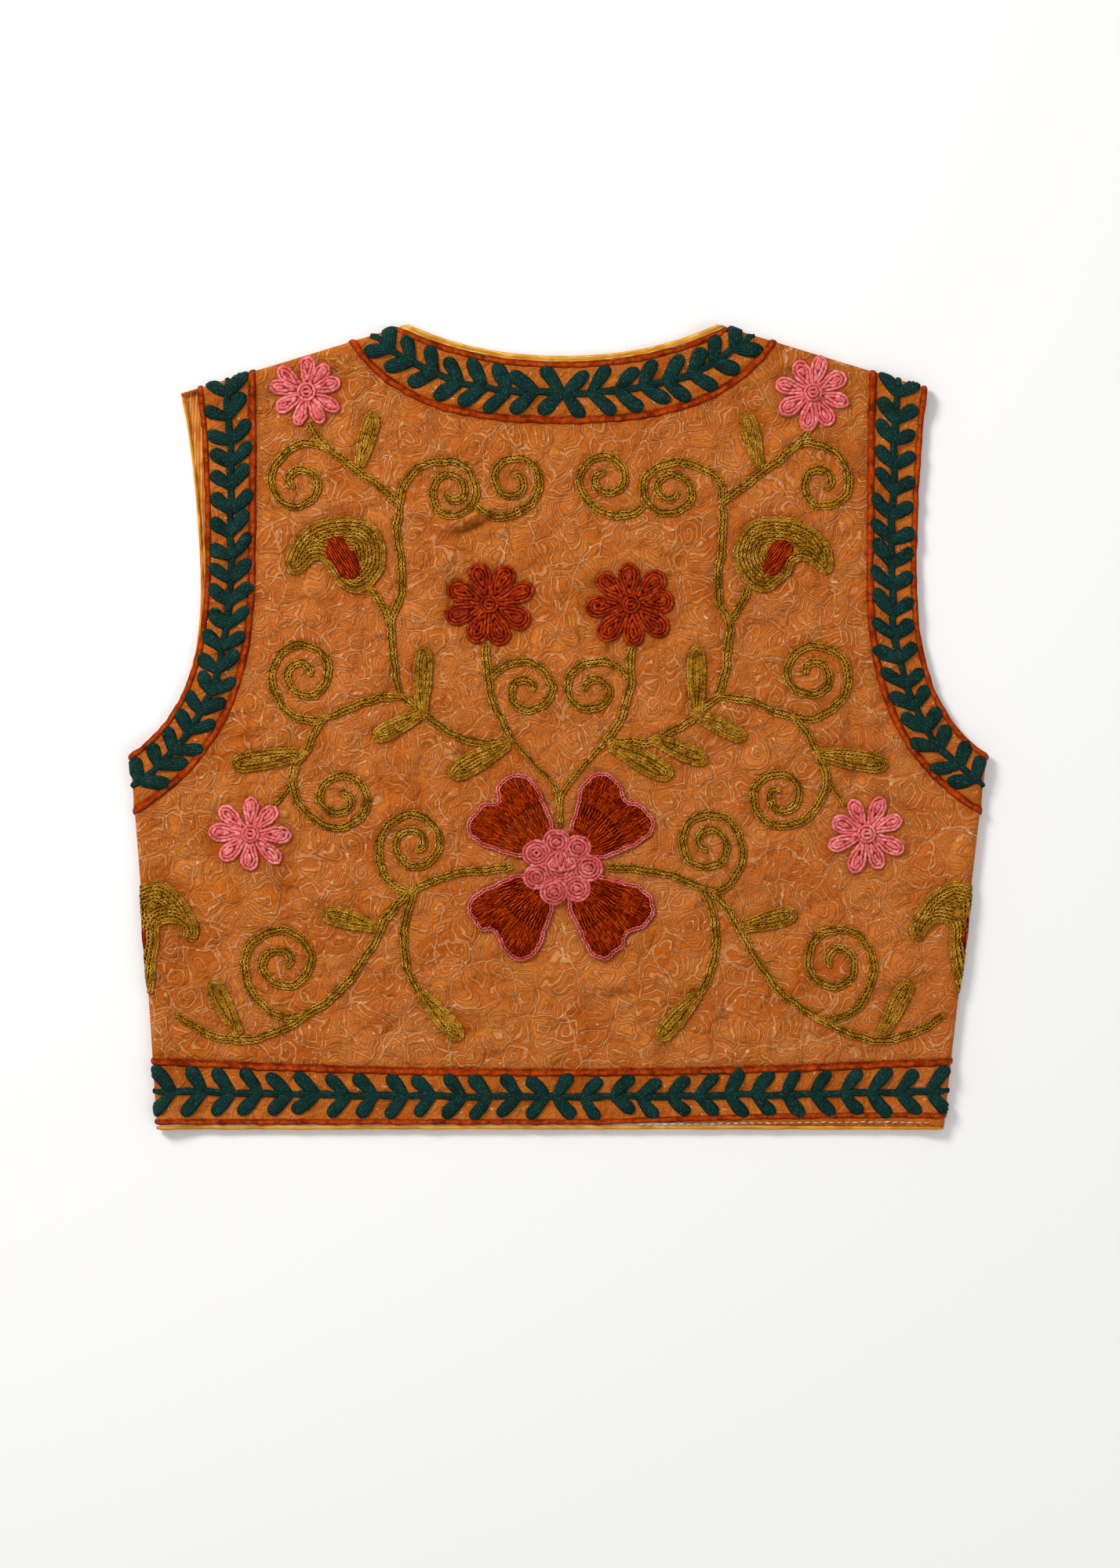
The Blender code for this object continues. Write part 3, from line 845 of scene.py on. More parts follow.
        slow = s.noise(place, 0.030, 3.0)
        broad = s.noise(place, 0.007, 1.0)
        colour = s.mix(s.band(slow, 0.36, 0.60), self.deep, self.ground)
        colour = s.mix(s.band(broad, 0.46, 0.64, 0.0, 0.6), colour, self.blush)
        lighter = s.math("MULTIPLY", s.band(red, 0.1, 0.75, 0.25, 0.72), s.band(slow, 0.32, 0.62, 0.35, 1.0))
        grainy = s.band(s.noise(place, 0.9, 3.0), 0.40, 0.60, 0.55, 1.15)
        lighter = s.math("MULTIPLY", lighter, grainy)
        colour = s.mix(lighter, colour, self.pale)
        # Painted shade: the grooves beside the raised lines are darkened towards deep.
        colour = s.mix(s.math("MULTIPLY", groove, 0.6), colour, self.deep)
        colour = s.mix(s.math("MULTIPLY_ADD", weave, 0.30, 0.08, clamp=True), colour, self.pale)
        fleck = s.noise(place, 1.1, 2.0)
        colour = s.mix(s.band(fleck, 0.46, 0.70, 0.0, 0.42), colour, self.deep)
        colour = s.mix(s.math("MULTIPLY", shown, self.show), colour, self.line)
        # Painted highlight: patches of the raised lines are lightened towards glint.
        glint = s.band(s.noise(place, 0.4, 1.0), 0.64, 0.72, 0.0, 0.6)
        colour = s.mix(s.math("MULTIPLY", glint, lines), colour, self.glint)
        # Painted shade: near marks the cloth close to the stitches, along the seams and in crease troughs,
        # where it is darkened.
        near = s.attribute("near")
        colour = s.mix(s.math("MULTIPLY", near, 0.58, clamp=True), colour, self.halo)

        height = s.math("MULTIPLY", s.math("MULTIPLY_ADD", strength, 0.6, 0.4), lines)
        height = s.math("MULTIPLY_ADD", groove, -0.4, height)
        height = s.math("MULTIPLY", height, self.line_height)
        height = s.math("MULTIPLY_ADD", weave, 0.035, height)
        height = s.math("MULTIPLY_ADD", s.band(edge, 0.0, 3.2), 0.42, height)
        height = s.math("MULTIPLY_ADD", s.noise(place, 0.15, 3.0), 4.0, height)
        height = s.math("MULTIPLY_ADD", fleck, 0.14, height)
        return s.finish(colour, height, s.band(shown, 0.0, 1.0, 0.85, 0.65), 0.03)


@dataclass(frozen=True)
class Thread:
    """Stitching thread: each stitch takes its own tone from its tint."""

    name: str
    dark: Colour
    light: Colour
    # Painted highlight colour for some stitches.
    glint: Colour
    # Painted shade colour for the dark specks.
    speck: Colour
    roughness: float = 0.62
    specular: float = 0.08

    def make(self) -> bpy.types.Material:
        """Builds the material."""
        s = Sketch(self.name)
        place = s.place()
        tint = s.attribute("tint")
        slow = s.noise(place, 0.09, 2.0)
        toned, drifted = s.math("MULTIPLY", tint, 0.8), s.math("MULTIPLY_ADD", slow, 1.2, -0.48)
        share = s.math("ADD", toned, drifted, clamp=True)
        colour = s.mix(share, self.dark, self.light)
        # Painted highlight: some stitches are lightened towards glint.
        spark = s.band(s.math("ADD", tint, s.noise(place, 1.3, 1.0)), 1.3, 1.55, 0.0, 0.5)
        colour = s.mix(spark, colour, self.glint)
        # Painted shade: dark specks stand in for the shade in the chain links' loops.
        shade_specks = s.math("MULTIPLY_ADD", tint, -0.1, s.noise(place, 0.62, 2.0))
        colour = s.mix(s.band(shade_specks, 0.50, 0.62, 0.0, 0.75), colour, self.speck)
        fibre = s.noise(place, 3.6, 2.0)
        height = s.math("MULTIPLY", fibre, 0.12)
        return s.finish(colour, height, self.roughness, self.specular)


@dataclass(frozen=True)
class PlainDark:
    """Painted shade: a dark material that stands in for the shade on the thread and ground between stitches.
    """

    name: str
    colour: Colour
    other: Colour

    def make(self) -> bpy.types.Material:
        """Builds the material."""
        s = Sketch(self.name)
        place = s.place()
        grain = s.noise(place, 1.8, 2.0)
        colour = s.mix(s.band(grain, 0.35, 0.65), self.colour, self.other)
        return s.finish(colour, s.math("MULTIPLY", grain, 0.1), 0.9, 0.03)


@dataclass(frozen=True)
class PaddedThread:
    """Dense teal stitching over padding, stippled with tiny knots."""

    name: str = "padded teal thread"
    dark: Colour = srgb("0C231F")
    light: Colour = srgb("1E463D")
    blue: Colour = srgb("163C3E")

    def make(self) -> bpy.types.Material:
        """Builds the material."""
        s = Sketch(self.name)
        place = s.place()
        tint = s.attribute("tint")
        inputs = {"Vector": place, "Scale": 1.45, "Randomness": 0.9}
        knots = s.node("TexVoronoi", inputs, "Distance", feature="F1", voronoi_dimensions="2D")
        slow = s.noise(place, 0.16, 2.0)
        share = s.math("ADD", s.math("MULTIPLY", tint, 0.35), s.band(slow, 0.3, 0.7, 0.0, 0.55))
        colour = s.mix(share, self.dark, self.light)
        colour = s.mix(s.band(s.noise(place, 0.07, 1.0), 0.52, 0.66, 0.0, 0.6), colour, self.blue)
        # Painted shade: the rims between the knots, where the bump sinks, are darkened.
        colour = s.mix(s.band(knots, 0.25, 0.65, 0.0, 0.55), colour, self.dark)
        lay = s.attribute("lay", "Vector")
        parts = s.node("SeparateXYZ", {0: lay}, 0).node.outputs
        rows = s.math("SINE", s.math("MULTIPLY", parts[1], 2 * math.pi / (1.6 * MM)))
        # Painted shade: the troughs between the rows of stitches are darkened.
        colour = s.mix(s.band(rows, -1.0, 0.0, 0.6, 0.0), colour, srgb("061A18"))
        colour = s.mix(s.band(s.noise(place, 0.9, 1.0), 0.55, 0.7, 0.0, 0.5), colour, srgb("2A635A"))
        height = s.math("MULTIPLY_ADD", rows, 0.16, s.math("MULTIPLY", knots, -0.4))
        return s.finish(colour, height, 0.72, 0.07)


@dataclass(frozen=True)
class CordSilk:
    """Rust piping: cloth pulled round a cord and caught down with small stitches."""

    name: str = "rust piping"
    dark: Colour = srgb("681600")
    # Painted highlight colour for the cord's crest.
    rust: Colour = srgb("9A2E01")
    bright: Colour = srgb("BA4E08")

    def make(self) -> bpy.types.Material:
        """Builds the material."""
        s = Sketch(self.name)
        place = s.place()
        parts = s.node("SeparateXYZ", {0: s.attribute("lay", "Vector")}, 0).node.outputs
        along, across = (s.math("DIVIDE", parts[i], MM) for i in (0, 1))
        slow = s.noise(place, 0.12, 2.0)
        colour = s.mix(s.band(slow, 0.35, 0.62), self.dark, self.rust)
        # Painted highlight: a lighter streak along the cord's crest, in patches.
        ridge = s.band(s.math("ABSOLUTE", s.math("ADD", across, 0.2)), 0.2, 1.6, 1.0, 0.0)
        bright = s.math("MULTIPLY", ridge, s.band(s.noise(place, 0.23, 2.0), 0.38, 0.62, 0.1, 0.8))
        colour = s.mix(bright, colour, self.bright)
        catch = s.line(s.math("MULTIPLY_ADD", s.noise(place, 0.3, 1.0), 6.0, along), 4.3, 0.5)
        colour = s.mix(s.math("MULTIPLY", catch, 0.35), colour, self.dark)
        thread = s.math("SINE", s.math("MULTIPLY", s.math("MULTIPLY_ADD", across, 0.8, along), 7.5))
        height = s.math("MULTIPLY_ADD", catch, -0.16, s.math("MULTIPLY", thread, 0.03))
        height = s.math("MULTIPLY_ADD", s.noise(place, 0.9, 2.0), 0.16, height)
        return s.finish(colour, height, 0.65, 0.05)


@dataclass(frozen=True)
class LiningSatin:
    """Yellow lining, with pressed lines along the edge that it rolls over, painted shade in the lines and
    painted highlight lines between them.
    """

    name: str
    gold: Colour
    amber: Colour
    cream: Colour
    pitch: float = 1.1

    def make(self) -> bpy.types.Material:
        """Builds the material."""
        s = Sketch(self.name)
        place = s.place()
        parts = s.node("SeparateXYZ", {0: s.attribute("lay", "Vector")}, 0).node.outputs
        across = s.math("DIVIDE", parts[1], MM)
        waver = s.math("MULTIPLY_ADD", s.noise(place, 0.05, 1.0), 1.2, across)
        colour = s.mix(s.band(s.noise(place, 0.1, 2.0), 0.35, 0.65), self.amber, self.gold)
        # Painted shade: amber lines in the pressed grooves.
        beat = s.line(waver, self.pitch, 0.3)
        colour = s.mix(s.math("MULTIPLY", beat, 0.55), colour, self.amber)
        # Painted highlight: cream lines between the pressed grooves.
        bright = s.line(s.math("ADD", waver, self.pitch * 0.5), self.pitch * 2, 0.3)
        share = s.math("MULTIPLY", bright, s.band(s.noise(place, 0.16, 1.0), 0.4, 0.6, 0.2, 0.9))
        colour = s.mix(share, colour, self.cream)
        height = s.math("MULTIPLY_ADD", beat, -0.14, s.math("MULTIPLY", s.noise(place, 0.6, 2.0), 0.08))
        return s.finish(colour, height, 0.45, 0.2)


@dataclass(frozen=True)
class StudioFloor:
    """The pale surface that the waistcoat lies on."""

    name: str = "pale floor"
    colour: Colour = (0.96, 0.96, 0.96, 1.0)

    def make(self) -> bpy.types.Material:
        """Builds the material."""
        s = Sketch(self.name)
        grain = s.noise(s.place(), 0.4, 2.0)
        return s.finish(self.colour, s.math("MULTIPLY", grain, 0.02), 0.9, 0.1)


def thread(name: str, codes: str, specular: float = 0.08) -> bpy.types.Material:
    """A thread's material, from the codes of its dark and light tones, its painted highlight and its painted
    shade.
    """
    return Thread(name, *map(srgb, codes.split()), specular=specular).make()


def shade(name: str, codes: str) -> bpy.types.Material:
    """The painted-shade material between a thread's stitches, from the codes of its two tones."""
    return PlainDark(name, *map(srgb, codes.split())).make()


class Palette:
    """Every finish of the waistcoat, made once. A pair is a thread and the painted shade between its
    stitches.
    """

    def __init__(self) -> None:
        """Builds the materials."""
        pale = srgb("C87830")
        self.cloth = FiguredCloth().make()
        self.band = FiguredCloth("orange band cloth", pale=pale, line_height=0.30, show=0.22).make()
        self.teal = PaddedThread().make()
        self.cord = CordSilk().make()
        golds = map(srgb, ("E8A21E", "C67C0C", "F8DA90"))
        self.roll = LiningSatin("yellow satin roll", *golds).make()
        ambers = map(srgb, ("DA8C36", "BE6414", "F2C880"))
        self.facing = LiningSatin("yellow facing", *ambers, pitch=1.7).make()
        self.olive = (
            thread("olive thread", "8F5B0A CF9424 E8C064 553505"),
            shade("olive shade", "4E2A02 683F05"),
        )
        self.pink = thread("pink thread", "D65A58 F08482 FBA8A2 BC4442"), shade("pink shade", "AA3432 BE4A47")
        self.rust = thread("rust thread", "8E2000 CC4803 DC5C0A 5F1000"), shade("rust shade", "540E00 701900")
        self.brick = (
            thread("brick thread", "7C1800 AE3402 C44E08 5A0E00"),
            shade("brick shade", "440A00 5A1300"),
        )
        self.rose = thread("rose thread", "BE4846 DC706E EC9590 A63937"), shade("rose shade", "8E2A27 A43A37")
        self.wine = (
            thread("dark red thread", "781600 C03E02 D65C0A 520B00", specular=0.03),
            shade("dark red shade", "4A0900 5E1100"),
        )
        self.white = thread("white running thread", "D9B48C F4E4CC FFFFFF C9A074")


# ---------------------------------------------------------------------------------------------
# Making pieces
# ---------------------------------------------------------------------------------------------


def coordinates(builder: bmesh.types.BMesh) -> Points:
    """The places of a bmesh's points."""
    return np.array([v.co for v in builder.verts], float)


def add_piece(
    name: str,
    mesh: bpy.types.Mesh,
    materials: Sequence[bpy.types.Material],
    replaces: Sequence[str] = (),
) -> bpy.types.Object:
    """Links a finished mesh as a piece of the waistcoat and reports it.

    Args:
        name: the piece's name.
        mesh: its mesh, already in place.
        materials: its materials, in the order of their numbers.
        replaces: the CAD nodes that it stands for.

    Returns:
        The new object.
    """
    for material in materials:
        mesh.materials.append(material)
    mesh.shade_smooth()
    piece = bpy.data.objects.new(name, mesh)
    bpy.context.scene.collection.objects.link(piece)
    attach(piece, BODY)
    if replaces:
        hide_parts(*replaces)
    triangles = sum(len(p.vertices) - 2 for p in mesh.polygons)
    LOG.info("%s: %d triangles before its wall", name, triangles)
    return piece


def mark_points(mesh: bpy.types.Mesh, marks: dict[str, Points]) -> None:
    """Keeps marks as attributes of a mesh's points, each a number or a vector to a point."""
    for mark, values in marks.items():
        kind, key = ("FLOAT", "value") if values.ndim == 1 else ("FLOAT_VECTOR", "vector")
        layer = mesh.attributes.new(mark, kind, "POINT")
        layer.data.foreach_set(key, np.ascontiguousarray(values, np.float32).ravel())


def mesh_of(name: str, builder: bmesh.types.BMesh, marks: dict[str, Points]) -> bpy.types.Mesh:
    """Turns a bmesh into a mesh, with marks kept as attributes of its points.

    Args:
        name: the mesh's name.
        builder: the bmesh, which is freed.
        marks: the attributes, by name.

    Returns:
        The mesh.
    """
    mesh = bpy.data.meshes.new(name)
    builder.to_mesh(mesh)
    builder.free()
    mark_points(mesh, marks)
    return mesh


@dataclass
class Tailor:
    """Cuts cloth and cords and lays them on the surface."""

    cut: Cut
    lie: Lie
    palette: Palette
    cloth_wall: float = 1.3 * MM
    stitch_sink: float = 0.45 * MM
    stitch_dip: float = 4.2 * MM
    stitch_shade: float = 3.3 * MM
    seam_shade: float = 4.4 * MM
    crease_shade: float = 1.1 * MM
    least_area: float = 0.3
    worked: list[Points] = field(default_factory=list)

    def sheet(
        self,
        name: str,
        grid: Points,
        face: Face,
        slot: Slot,
        lining: bpy.types.Material,
        rests_on: Sequence[str],
    ) -> bpy.types.Object:
        """A wall of cloth on a grid of places.

        Args:
            name: the CAD node that it stands for.
            grid: places on the cut, in rows and columns.
            face: which way its right side looks.
            slot: its material slot.
            lining: the finish of its wrong side.
            rests_on: not used.

        Returns:
            The cloth's object.
        """
        rows, columns = grid.shape[:2]
        builder = bmesh.new()
        bmesh.ops.create_grid(builder, x_segments=columns - 1, y_segments=rows - 1, size=0.5)
        raw = coordinates(builder)
        i = np.rint((raw[:, 0] + 0.5) * (columns - 1)).astype(int)
        j = np.rint((raw[:, 1] + 0.5) * (rows - 1)).astype(int)
        places = self.cut.place(grid[j, i])
        # near is painted shade: it rises close to the stitches, along the seams and in the creases' troughs,
        # and the cloth's material darkens there.
        near = np.zeros(len(places))
        if face is Face.UP:
            relief = self.lie.relief(places)
            if self.worked:
                gap = nearest(places, np.vstack(self.worked))
                near = np.exp(-((gap / self.stitch_shade) ** 2))
                relief = relief - self.stitch_sink * np.exp(-((gap / self.stitch_dip) ** 2))
            seam_near = np.exp(-((nearest(places, self.lie.seams) / self.seam_shade) ** 2))
            crease_shadow = np.clip(-self.lie.bumps(places, CREASES) / self.crease_shade, 0, 1)
            near = np.maximum.reduce([near * 0.8, seam_near * 0.9, crease_shadow])
            height = self.lie.back(places, relief)
        else:
            height = self.lie.front(places)
        for vertex, (x, y), z in zip(builder.verts, places, height):
            vertex.co = (x, y, z)
        builder.normal_update()
        up = sum(f.normal.z for f in builder.faces)
        if (up > 0) != (face is Face.UP):
            bmesh.ops.reverse_faces(builder, faces=builder.faces[:])
        quads = grid[1:, 1:], grid[:-1, :-1], grid[1:, :-1], grid[:-1, 1:]
        first, second = quads[0] - quads[1], quads[2] - quads[3]
        area = float(np.abs(first[..., 0] * second[..., 1] - first[..., 1] * second[..., 0]).sum() / 2)
        lay = np.column_stack([raw[:, 0], self.across(grid)[j, i], height])
        mesh = mesh_of(name, builder, {"near": near, "lay": lay})
        cloth = self.palette.band if slot is Slot.BAND else self.palette.cloth
        piece = add_piece(f"{name}_cloth", mesh, (cloth, lining), (name,))
        wall = piece.modifiers.new("wall", "SOLIDIFY")
        wall.thickness = self.cloth_wall
        wall.offset = -1.0
        wall.material_offset = 1
        size = np.ptp(grid.reshape(-1, 2), axis=0)
        flat = max(float(size[0] * size[1]), area)
        area = max(area, self.least_area * flat)
        return piece

    @staticmethod
    def across(grid: Points) -> Points:
        """How far each place of a grid is from its first row, in metres."""
        steps = np.linalg.norm(np.diff(grid, axis=0), axis=2)
        return np.vstack([np.zeros((1, grid.shape[1])), np.cumsum(steps, axis=0)])

    @staticmethod
    def patch(bottom: Points, top: Points, left: Points, right: Points, u: Points, v: Points) -> Points:
        """The grid of places of a four-sided patch, from its four edges.

        Args:
            bottom: the lower edge.
            top: the upper edge.
            left: the left edge.
            right: the right edge.
            u: stations along the lower and upper edges.
            v: stations along the side edges.

        Returns:
            The grid, in rows from the bottom.
        """
        s, t = u[None, :, None], v[:, None, None]
        corners = (
            (1 - s) * (1 - t) * bottom[0]
            + s * (1 - t) * bottom[-1]
            + (1 - s) * t * top[0]
            + s * t * top[-1]
        )
        return (1 - t) * bottom[None] + t * top[None] + (1 - s) * left[:, None] + s * right[:, None] - corners

    @staticmethod
    def strip(low: Points, high: Points, rows: int) -> Points:
        """The grid of places between two edges."""
        t = np.linspace(0, 1, rows)[:, None, None]
        return low[None] * (1 - t) + high[None] * t

    def cord(
        self,
        name: str,
        low: Points,
        high: Points,
        thick: float,
        rise: float,
        materials: Sequence[bpy.types.Material],
        slot: Slot,
        replaces: Sequence[str] = (),
        wobble: float = 0.0,
        sides: int = 12,
        placed: bool = False,
    ) -> bpy.types.Object:
        """A round cord between two lines of the cut.

        Args:
            name: the piece's name.
            low: places along one side of the cord.
            high: places along its other side.
            thick: how thick it is, from its foot to its top.
            rise: how far its top stands above the cloth.
            materials: its finish.
            slot: not used.
            replaces: the CAD nodes that it stands for.
            wobble: how unevenly it swells and wanders, as a share of its width.
            sides: how many faces go round it.
            placed: whether the lines are already where they lie.

        Returns:
            The cord's object.
        """
        if not placed:
            low, high = self.cut.place(low), self.cut.place(high)
        count = len(low)
        builder = bmesh.new()
        bmesh.ops.create_cone(
            builder, cap_ends=True, segments=sides, radius1=1.0, radius2=1.0, depth=1.0,
            matrix=Matrix.Rotation(math.pi / 2, 4, "Y"),
        )
        lengthwise = [e for e in builder.edges if abs(e.verts[0].co.x - e.verts[1].co.x) > 0.5]
        bmesh.ops.subdivide_edges(builder, edges=lengthwise, cuts=count - 2)
        raw = coordinates(builder)
        index = np.rint((raw[:, 0] + 0.5) * (count - 1)).astype(int)
        middle, half = (low + high) / 2, (high - low) / 2
        runs = np.concatenate([[0], np.cumsum(np.linalg.norm(np.diff(middle, axis=0), axis=1))])
        rng = np.random.default_rng(len(name) * 131 + count)
        swell, wander = np.zeros(count), np.zeros(count)
        for length in (7.0, 11.0, 19.0, 37.0):
            for target, weight in ((swell, 0.30), (wander, 0.35)):
                target += weight * np.sin(2 * math.pi * runs / (length * MM) + rng.uniform(0, 6.3))
        fat = 1 + wobble * swell
        places = middle[index] + half[index] * (raw[:, 1] * fat[index] + wobble * wander[index])[:, None]
        lift = rise - thick / 2 + thick / 2 * raw[:, 2] * fat[index]
        base = self.lie.on_back(places, lift)
        for vertex, place in zip(builder.verts, base):
            vertex.co = place
        bmesh.ops.recalc_face_normals(builder, faces=builder.faces[:])
        width = np.linalg.norm(half, axis=1)
        lay = np.column_stack([runs[index], raw[:, 1] * width[index], raw[:, 2] * thick / 2])
        mesh = mesh_of(name, builder, {"lay": lay, "tint": np.full(len(raw), 0.5)})
        return add_piece(name, mesh, materials, replaces)


# ---------------------------------------------------------------------------------------------
# Cloth and piping
# ---------------------------------------------------------------------------------------------


def fold_shares(length: float, radius: float, start: bool, end: bool, step: float) -> Points:
    """Stations along a length, close together where the cloth rounds into a fold.

    Args:
        length: the length in metres.
        radius: the fold's radius.
        start: whether there is a fold at the start.
        end: whether there is a fold at the end.
        step: the wanted step away from the folds.

    Returns:
        Shares from 0 to 1.
    """
    arc = radius * (1 - np.cos(np.radians(np.arange(0, 91, 15))))
    low = arc if start else np.array([0.0])
    high = length - arc[::-1] if end else np.array([length])
    count = max(int(round((high[0] - low[-1]) / step)), 2)
    middle = np.linspace(low[-1], high[0], count + 1)[1:-1]
    return np.concatenate([low, middle, high]) / length


@dataclass
class BackCloth:
    """The back: its panel, its bands, its piping and the lining rolled out at its edges."""

    tailor: Tailor
    seam_cord_width: float = 4.3 * MM
    solid_cord_width: float = 4.4 * MM
    edge_cord_width: float = 3.2 * MM
    neck_roll_width: float = 3.4 * MM
    solid_neck_roll: float = 2.8 * MM
    hem_roll_width: float = 2.2 * MM
    gap: float = 0.3 * MM
    tuck: float = 0.8 * MM
    step: float = 2.05 * MM
    band_step: float = 1.9 * MM
    shoulder_share: float = 0.16
    side_share: float = 0.35

    def panel(self) -> bpy.types.Object:
        """The figured back panel."""
        t, cut = self.tailor, self.tailor.cut
        radius = t.lie.fold_radius
        seam = self.solid_cord_width / 2 - self.tuck
        neck_reach = cut.neck_seam.length
        shoulder = math.dist((cut.neck_seam_x, 0), (cut.armhole_seam_x, 0)) * 1.04
        side_length = float(cut.armhole_seam_side_y - cut.hem_seam_side_y)
        neck_shares = fold_shares(neck_reach, radius, True, True, self.step * 1.12)
        ends = fold_shares(shoulder, radius, False, False, self.step)[:-1]
        share = self.shoulder_share
        u = np.concatenate([ends * share, share + (1 - 2 * share) * neck_shares, 1 - (ends * share)[::-1]])
        bottom_fold = radius / (2 * float(cut.side_x(cut.hem_seam_side_y)))
        arc = bottom_fold * (1 - np.cos(np.radians(np.arange(0, 91, 15))))
        keep = u[(u > arc[-1] + 0.003) & (u < 1 - arc[-1] - 0.003)]
        u = np.concatenate([arc, keep, 1 - arc[::-1]])
        arm_shares = fold_shares(cut.armhole_seam.length, radius, True, True, self.step)
        side_count = int(side_length / self.step)
        low_share = self.side_share
        side_shares = np.linspace(0, low_share, side_count, endpoint=False)
        v = np.concatenate([side_shares, low_share + (1 - low_share) * arm_shares])
        hem = cut.hem_line(cut.hem_seam, u, seam, cut.hem_seam_side_y)
        arm = cut.arm_line(cut.armhole_seam, arm_shares, -seam, cut.armhole_seam_side_y, Side.RIGHT)
        heights = np.linspace(hem[-1][1], arm[0][1], side_count, endpoint=False)
        right = np.vstack([np.column_stack([cut.side_x(heights), heights]), arm])
        inner = (u > share) & (u < 1 - share)
        neck = cut.neck_line(cut.neck_seam, (u[inner] - share) / (1 - 2 * share), -seam)
        neck_end = cut.neck_line(cut.neck_seam, np.array([0.0, 1.0]), -seam)[1]
        run = (u[u <= share] / share)[:, None]
        slope = arm[-1] * (1 - run) + neck_end * run
        top = np.vstack([slope * [-1, 1], neck, slope[::-1]])
        grid = t.patch(hem, top, right * [-1, 1], right, u, v)
        rests_on = ["front_panel_left_cloth", "front_panel_right_cloth"]
        return t.sheet("back_panel", grid, Face.UP, Slot.CLOTH, t.palette.facing, rests_on)

    @staticmethod
    def hem_rise(points: Points, part: float = 1.0) -> Points:
        """Places along the hem, raised by part of what its piping rises by towards the right."""
        share = np.clip((points[:, 0] - 0.03) / 0.17, 0, 1)
        return points + np.column_stack([np.zeros(len(points)), part * 3.8 * MM * share * (2 - share)])

    def bands(self) -> None:
        """The neck, armhole and hem bands."""
        t, cut = self.tailor, self.tailor.cut
        radius = t.lie.fold_radius
        seam = self.solid_cord_width / 2 - self.tuck
        edge = self.edge_cord_width + self.gap - self.tuck
        step, lining = self.band_step, t.palette.facing
        shares = fold_shares(cut.neck_seam.length, radius, True, True, step)
        low = cut.neck_line(cut.neck_seam, shares, seam)
        high = cut.neck_line(cut.neck_edge, shares, -(edge + self.solid_neck_roll))
        under = ["front_panel_left_cloth"]
        t.sheet("back_neck_band", t.strip(low, high, 17), Face.UP, Slot.BAND, lining, under)
        shares = fold_shares(2 * cut.hem_half_width, radius, True, True, step)
        low = cut.hem_line(cut.hem_edge, shares, edge + self.hem_roll_width, cut.hem_y)
        low = self.hem_rise(low, -0.8)
        high = cut.hem_line(cut.hem_seam, shares, -seam, cut.hem_seam_side_y)
        under = ["front_hem_band_left_cloth"]
        t.sheet("back_hem_band", t.strip(low, high, 17), Face.UP, Slot.BAND, lining, under)
        shares = fold_shares(cut.armhole_seam.length, radius, True, True, step)
        for side in Side:
            low = cut.arm_line(cut.armhole_seam, shares, seam, cut.armhole_seam_side_y, side)
            high = cut.arm_line(cut.armhole_edge, shares, -edge, cut.underarm_y, side)
            under = [f"front_armhole_band_{side.word}_cloth"]
            name = f"back_armhole_band_{side.word}"
            t.sheet(name, t.strip(low, high, 15), Face.UP, Slot.BAND, lining, under)

    def piping(self) -> None:
        """The rust cords in the seams and along the edges."""
        t, cut = self.tailor, self.tailor.cut
        wide, thin = self.seam_cord_width / 2, self.edge_cord_width
        neck_top = -(self.solid_neck_roll + 2 * self.gap)
        foot = self.hem_roll_width + 2 * self.gap
        count = np.linspace(0, 1, 190)
        rows = {
            "neck_seam_cord": [cut.neck_line(cut.neck_seam, count, s) for s in (-wide, wide)],
            "neck_edge_cord": [cut.neck_line(cut.neck_edge, count, s) for s in (neck_top - thin, neck_top)],
            "hem_seam_cord": [
                cut.hem_line(cut.hem_seam, count, s, cut.hem_seam_side_y) for s in (-wide, wide)
            ],
            "hem_edge_cord": [
                self.hem_rise(cut.hem_line(cut.hem_edge, count, s, cut.hem_y)) for s in (foot, foot + thin)
            ],
        }
        for side in Side:
            rows[f"armhole_seam_cord_{side.word}"] = [
                cut.arm_line(cut.armhole_seam, count, s, cut.armhole_seam_side_y, side) for s in (-wide, wide)
            ]
            rows[f"armhole_edge_cord_{side.word}"] = [
                cut.arm_line(cut.armhole_edge, count, s, cut.underarm_y, side) for s in (-thin, 0.0)
            ]
        for name, (low, high) in rows.items():
            thick = 3.0 * MM if "seam" in name else 2.6 * MM
            t.cord(f"{name}_silk", low, high, thick, 1.25 * MM, (t.palette.cord,), Slot.CORD, (name,), 0.13)

    def rolls(self) -> None:
        """The yellow lining rolled out at the neck and the hem."""
        t, cut = self.tailor, self.tailor.cut
        count = np.linspace(0, 1, 150)
        low, high = (cut.neck_line(cut.neck_edge, count, s) for s in (-self.neck_roll_width, 0.2 * MM))
        finish, slot = (t.palette.roll,), Slot.LINING
        stands_for = ("neck_lining_edge",)
        t.cord("neck_lining_roll", low, high, 2.2 * MM, 0.5 * MM, finish, slot, stands_for, 0.05)
        low, high = (cut.hem_line(cut.hem_edge, count, s, cut.hem_y) for s in (0.0, self.hem_roll_width))
        stands_for = ("hem_lining_edge",)
        t.cord("hem_lining_roll", low, high, 2.0 * MM, 0.3 * MM, finish, slot, stands_for, 0.08)

    def build(self) -> None:
        """Builds every piece of the back."""
        self.panel()
        self.bands()
        self.piping()
        self.rolls()


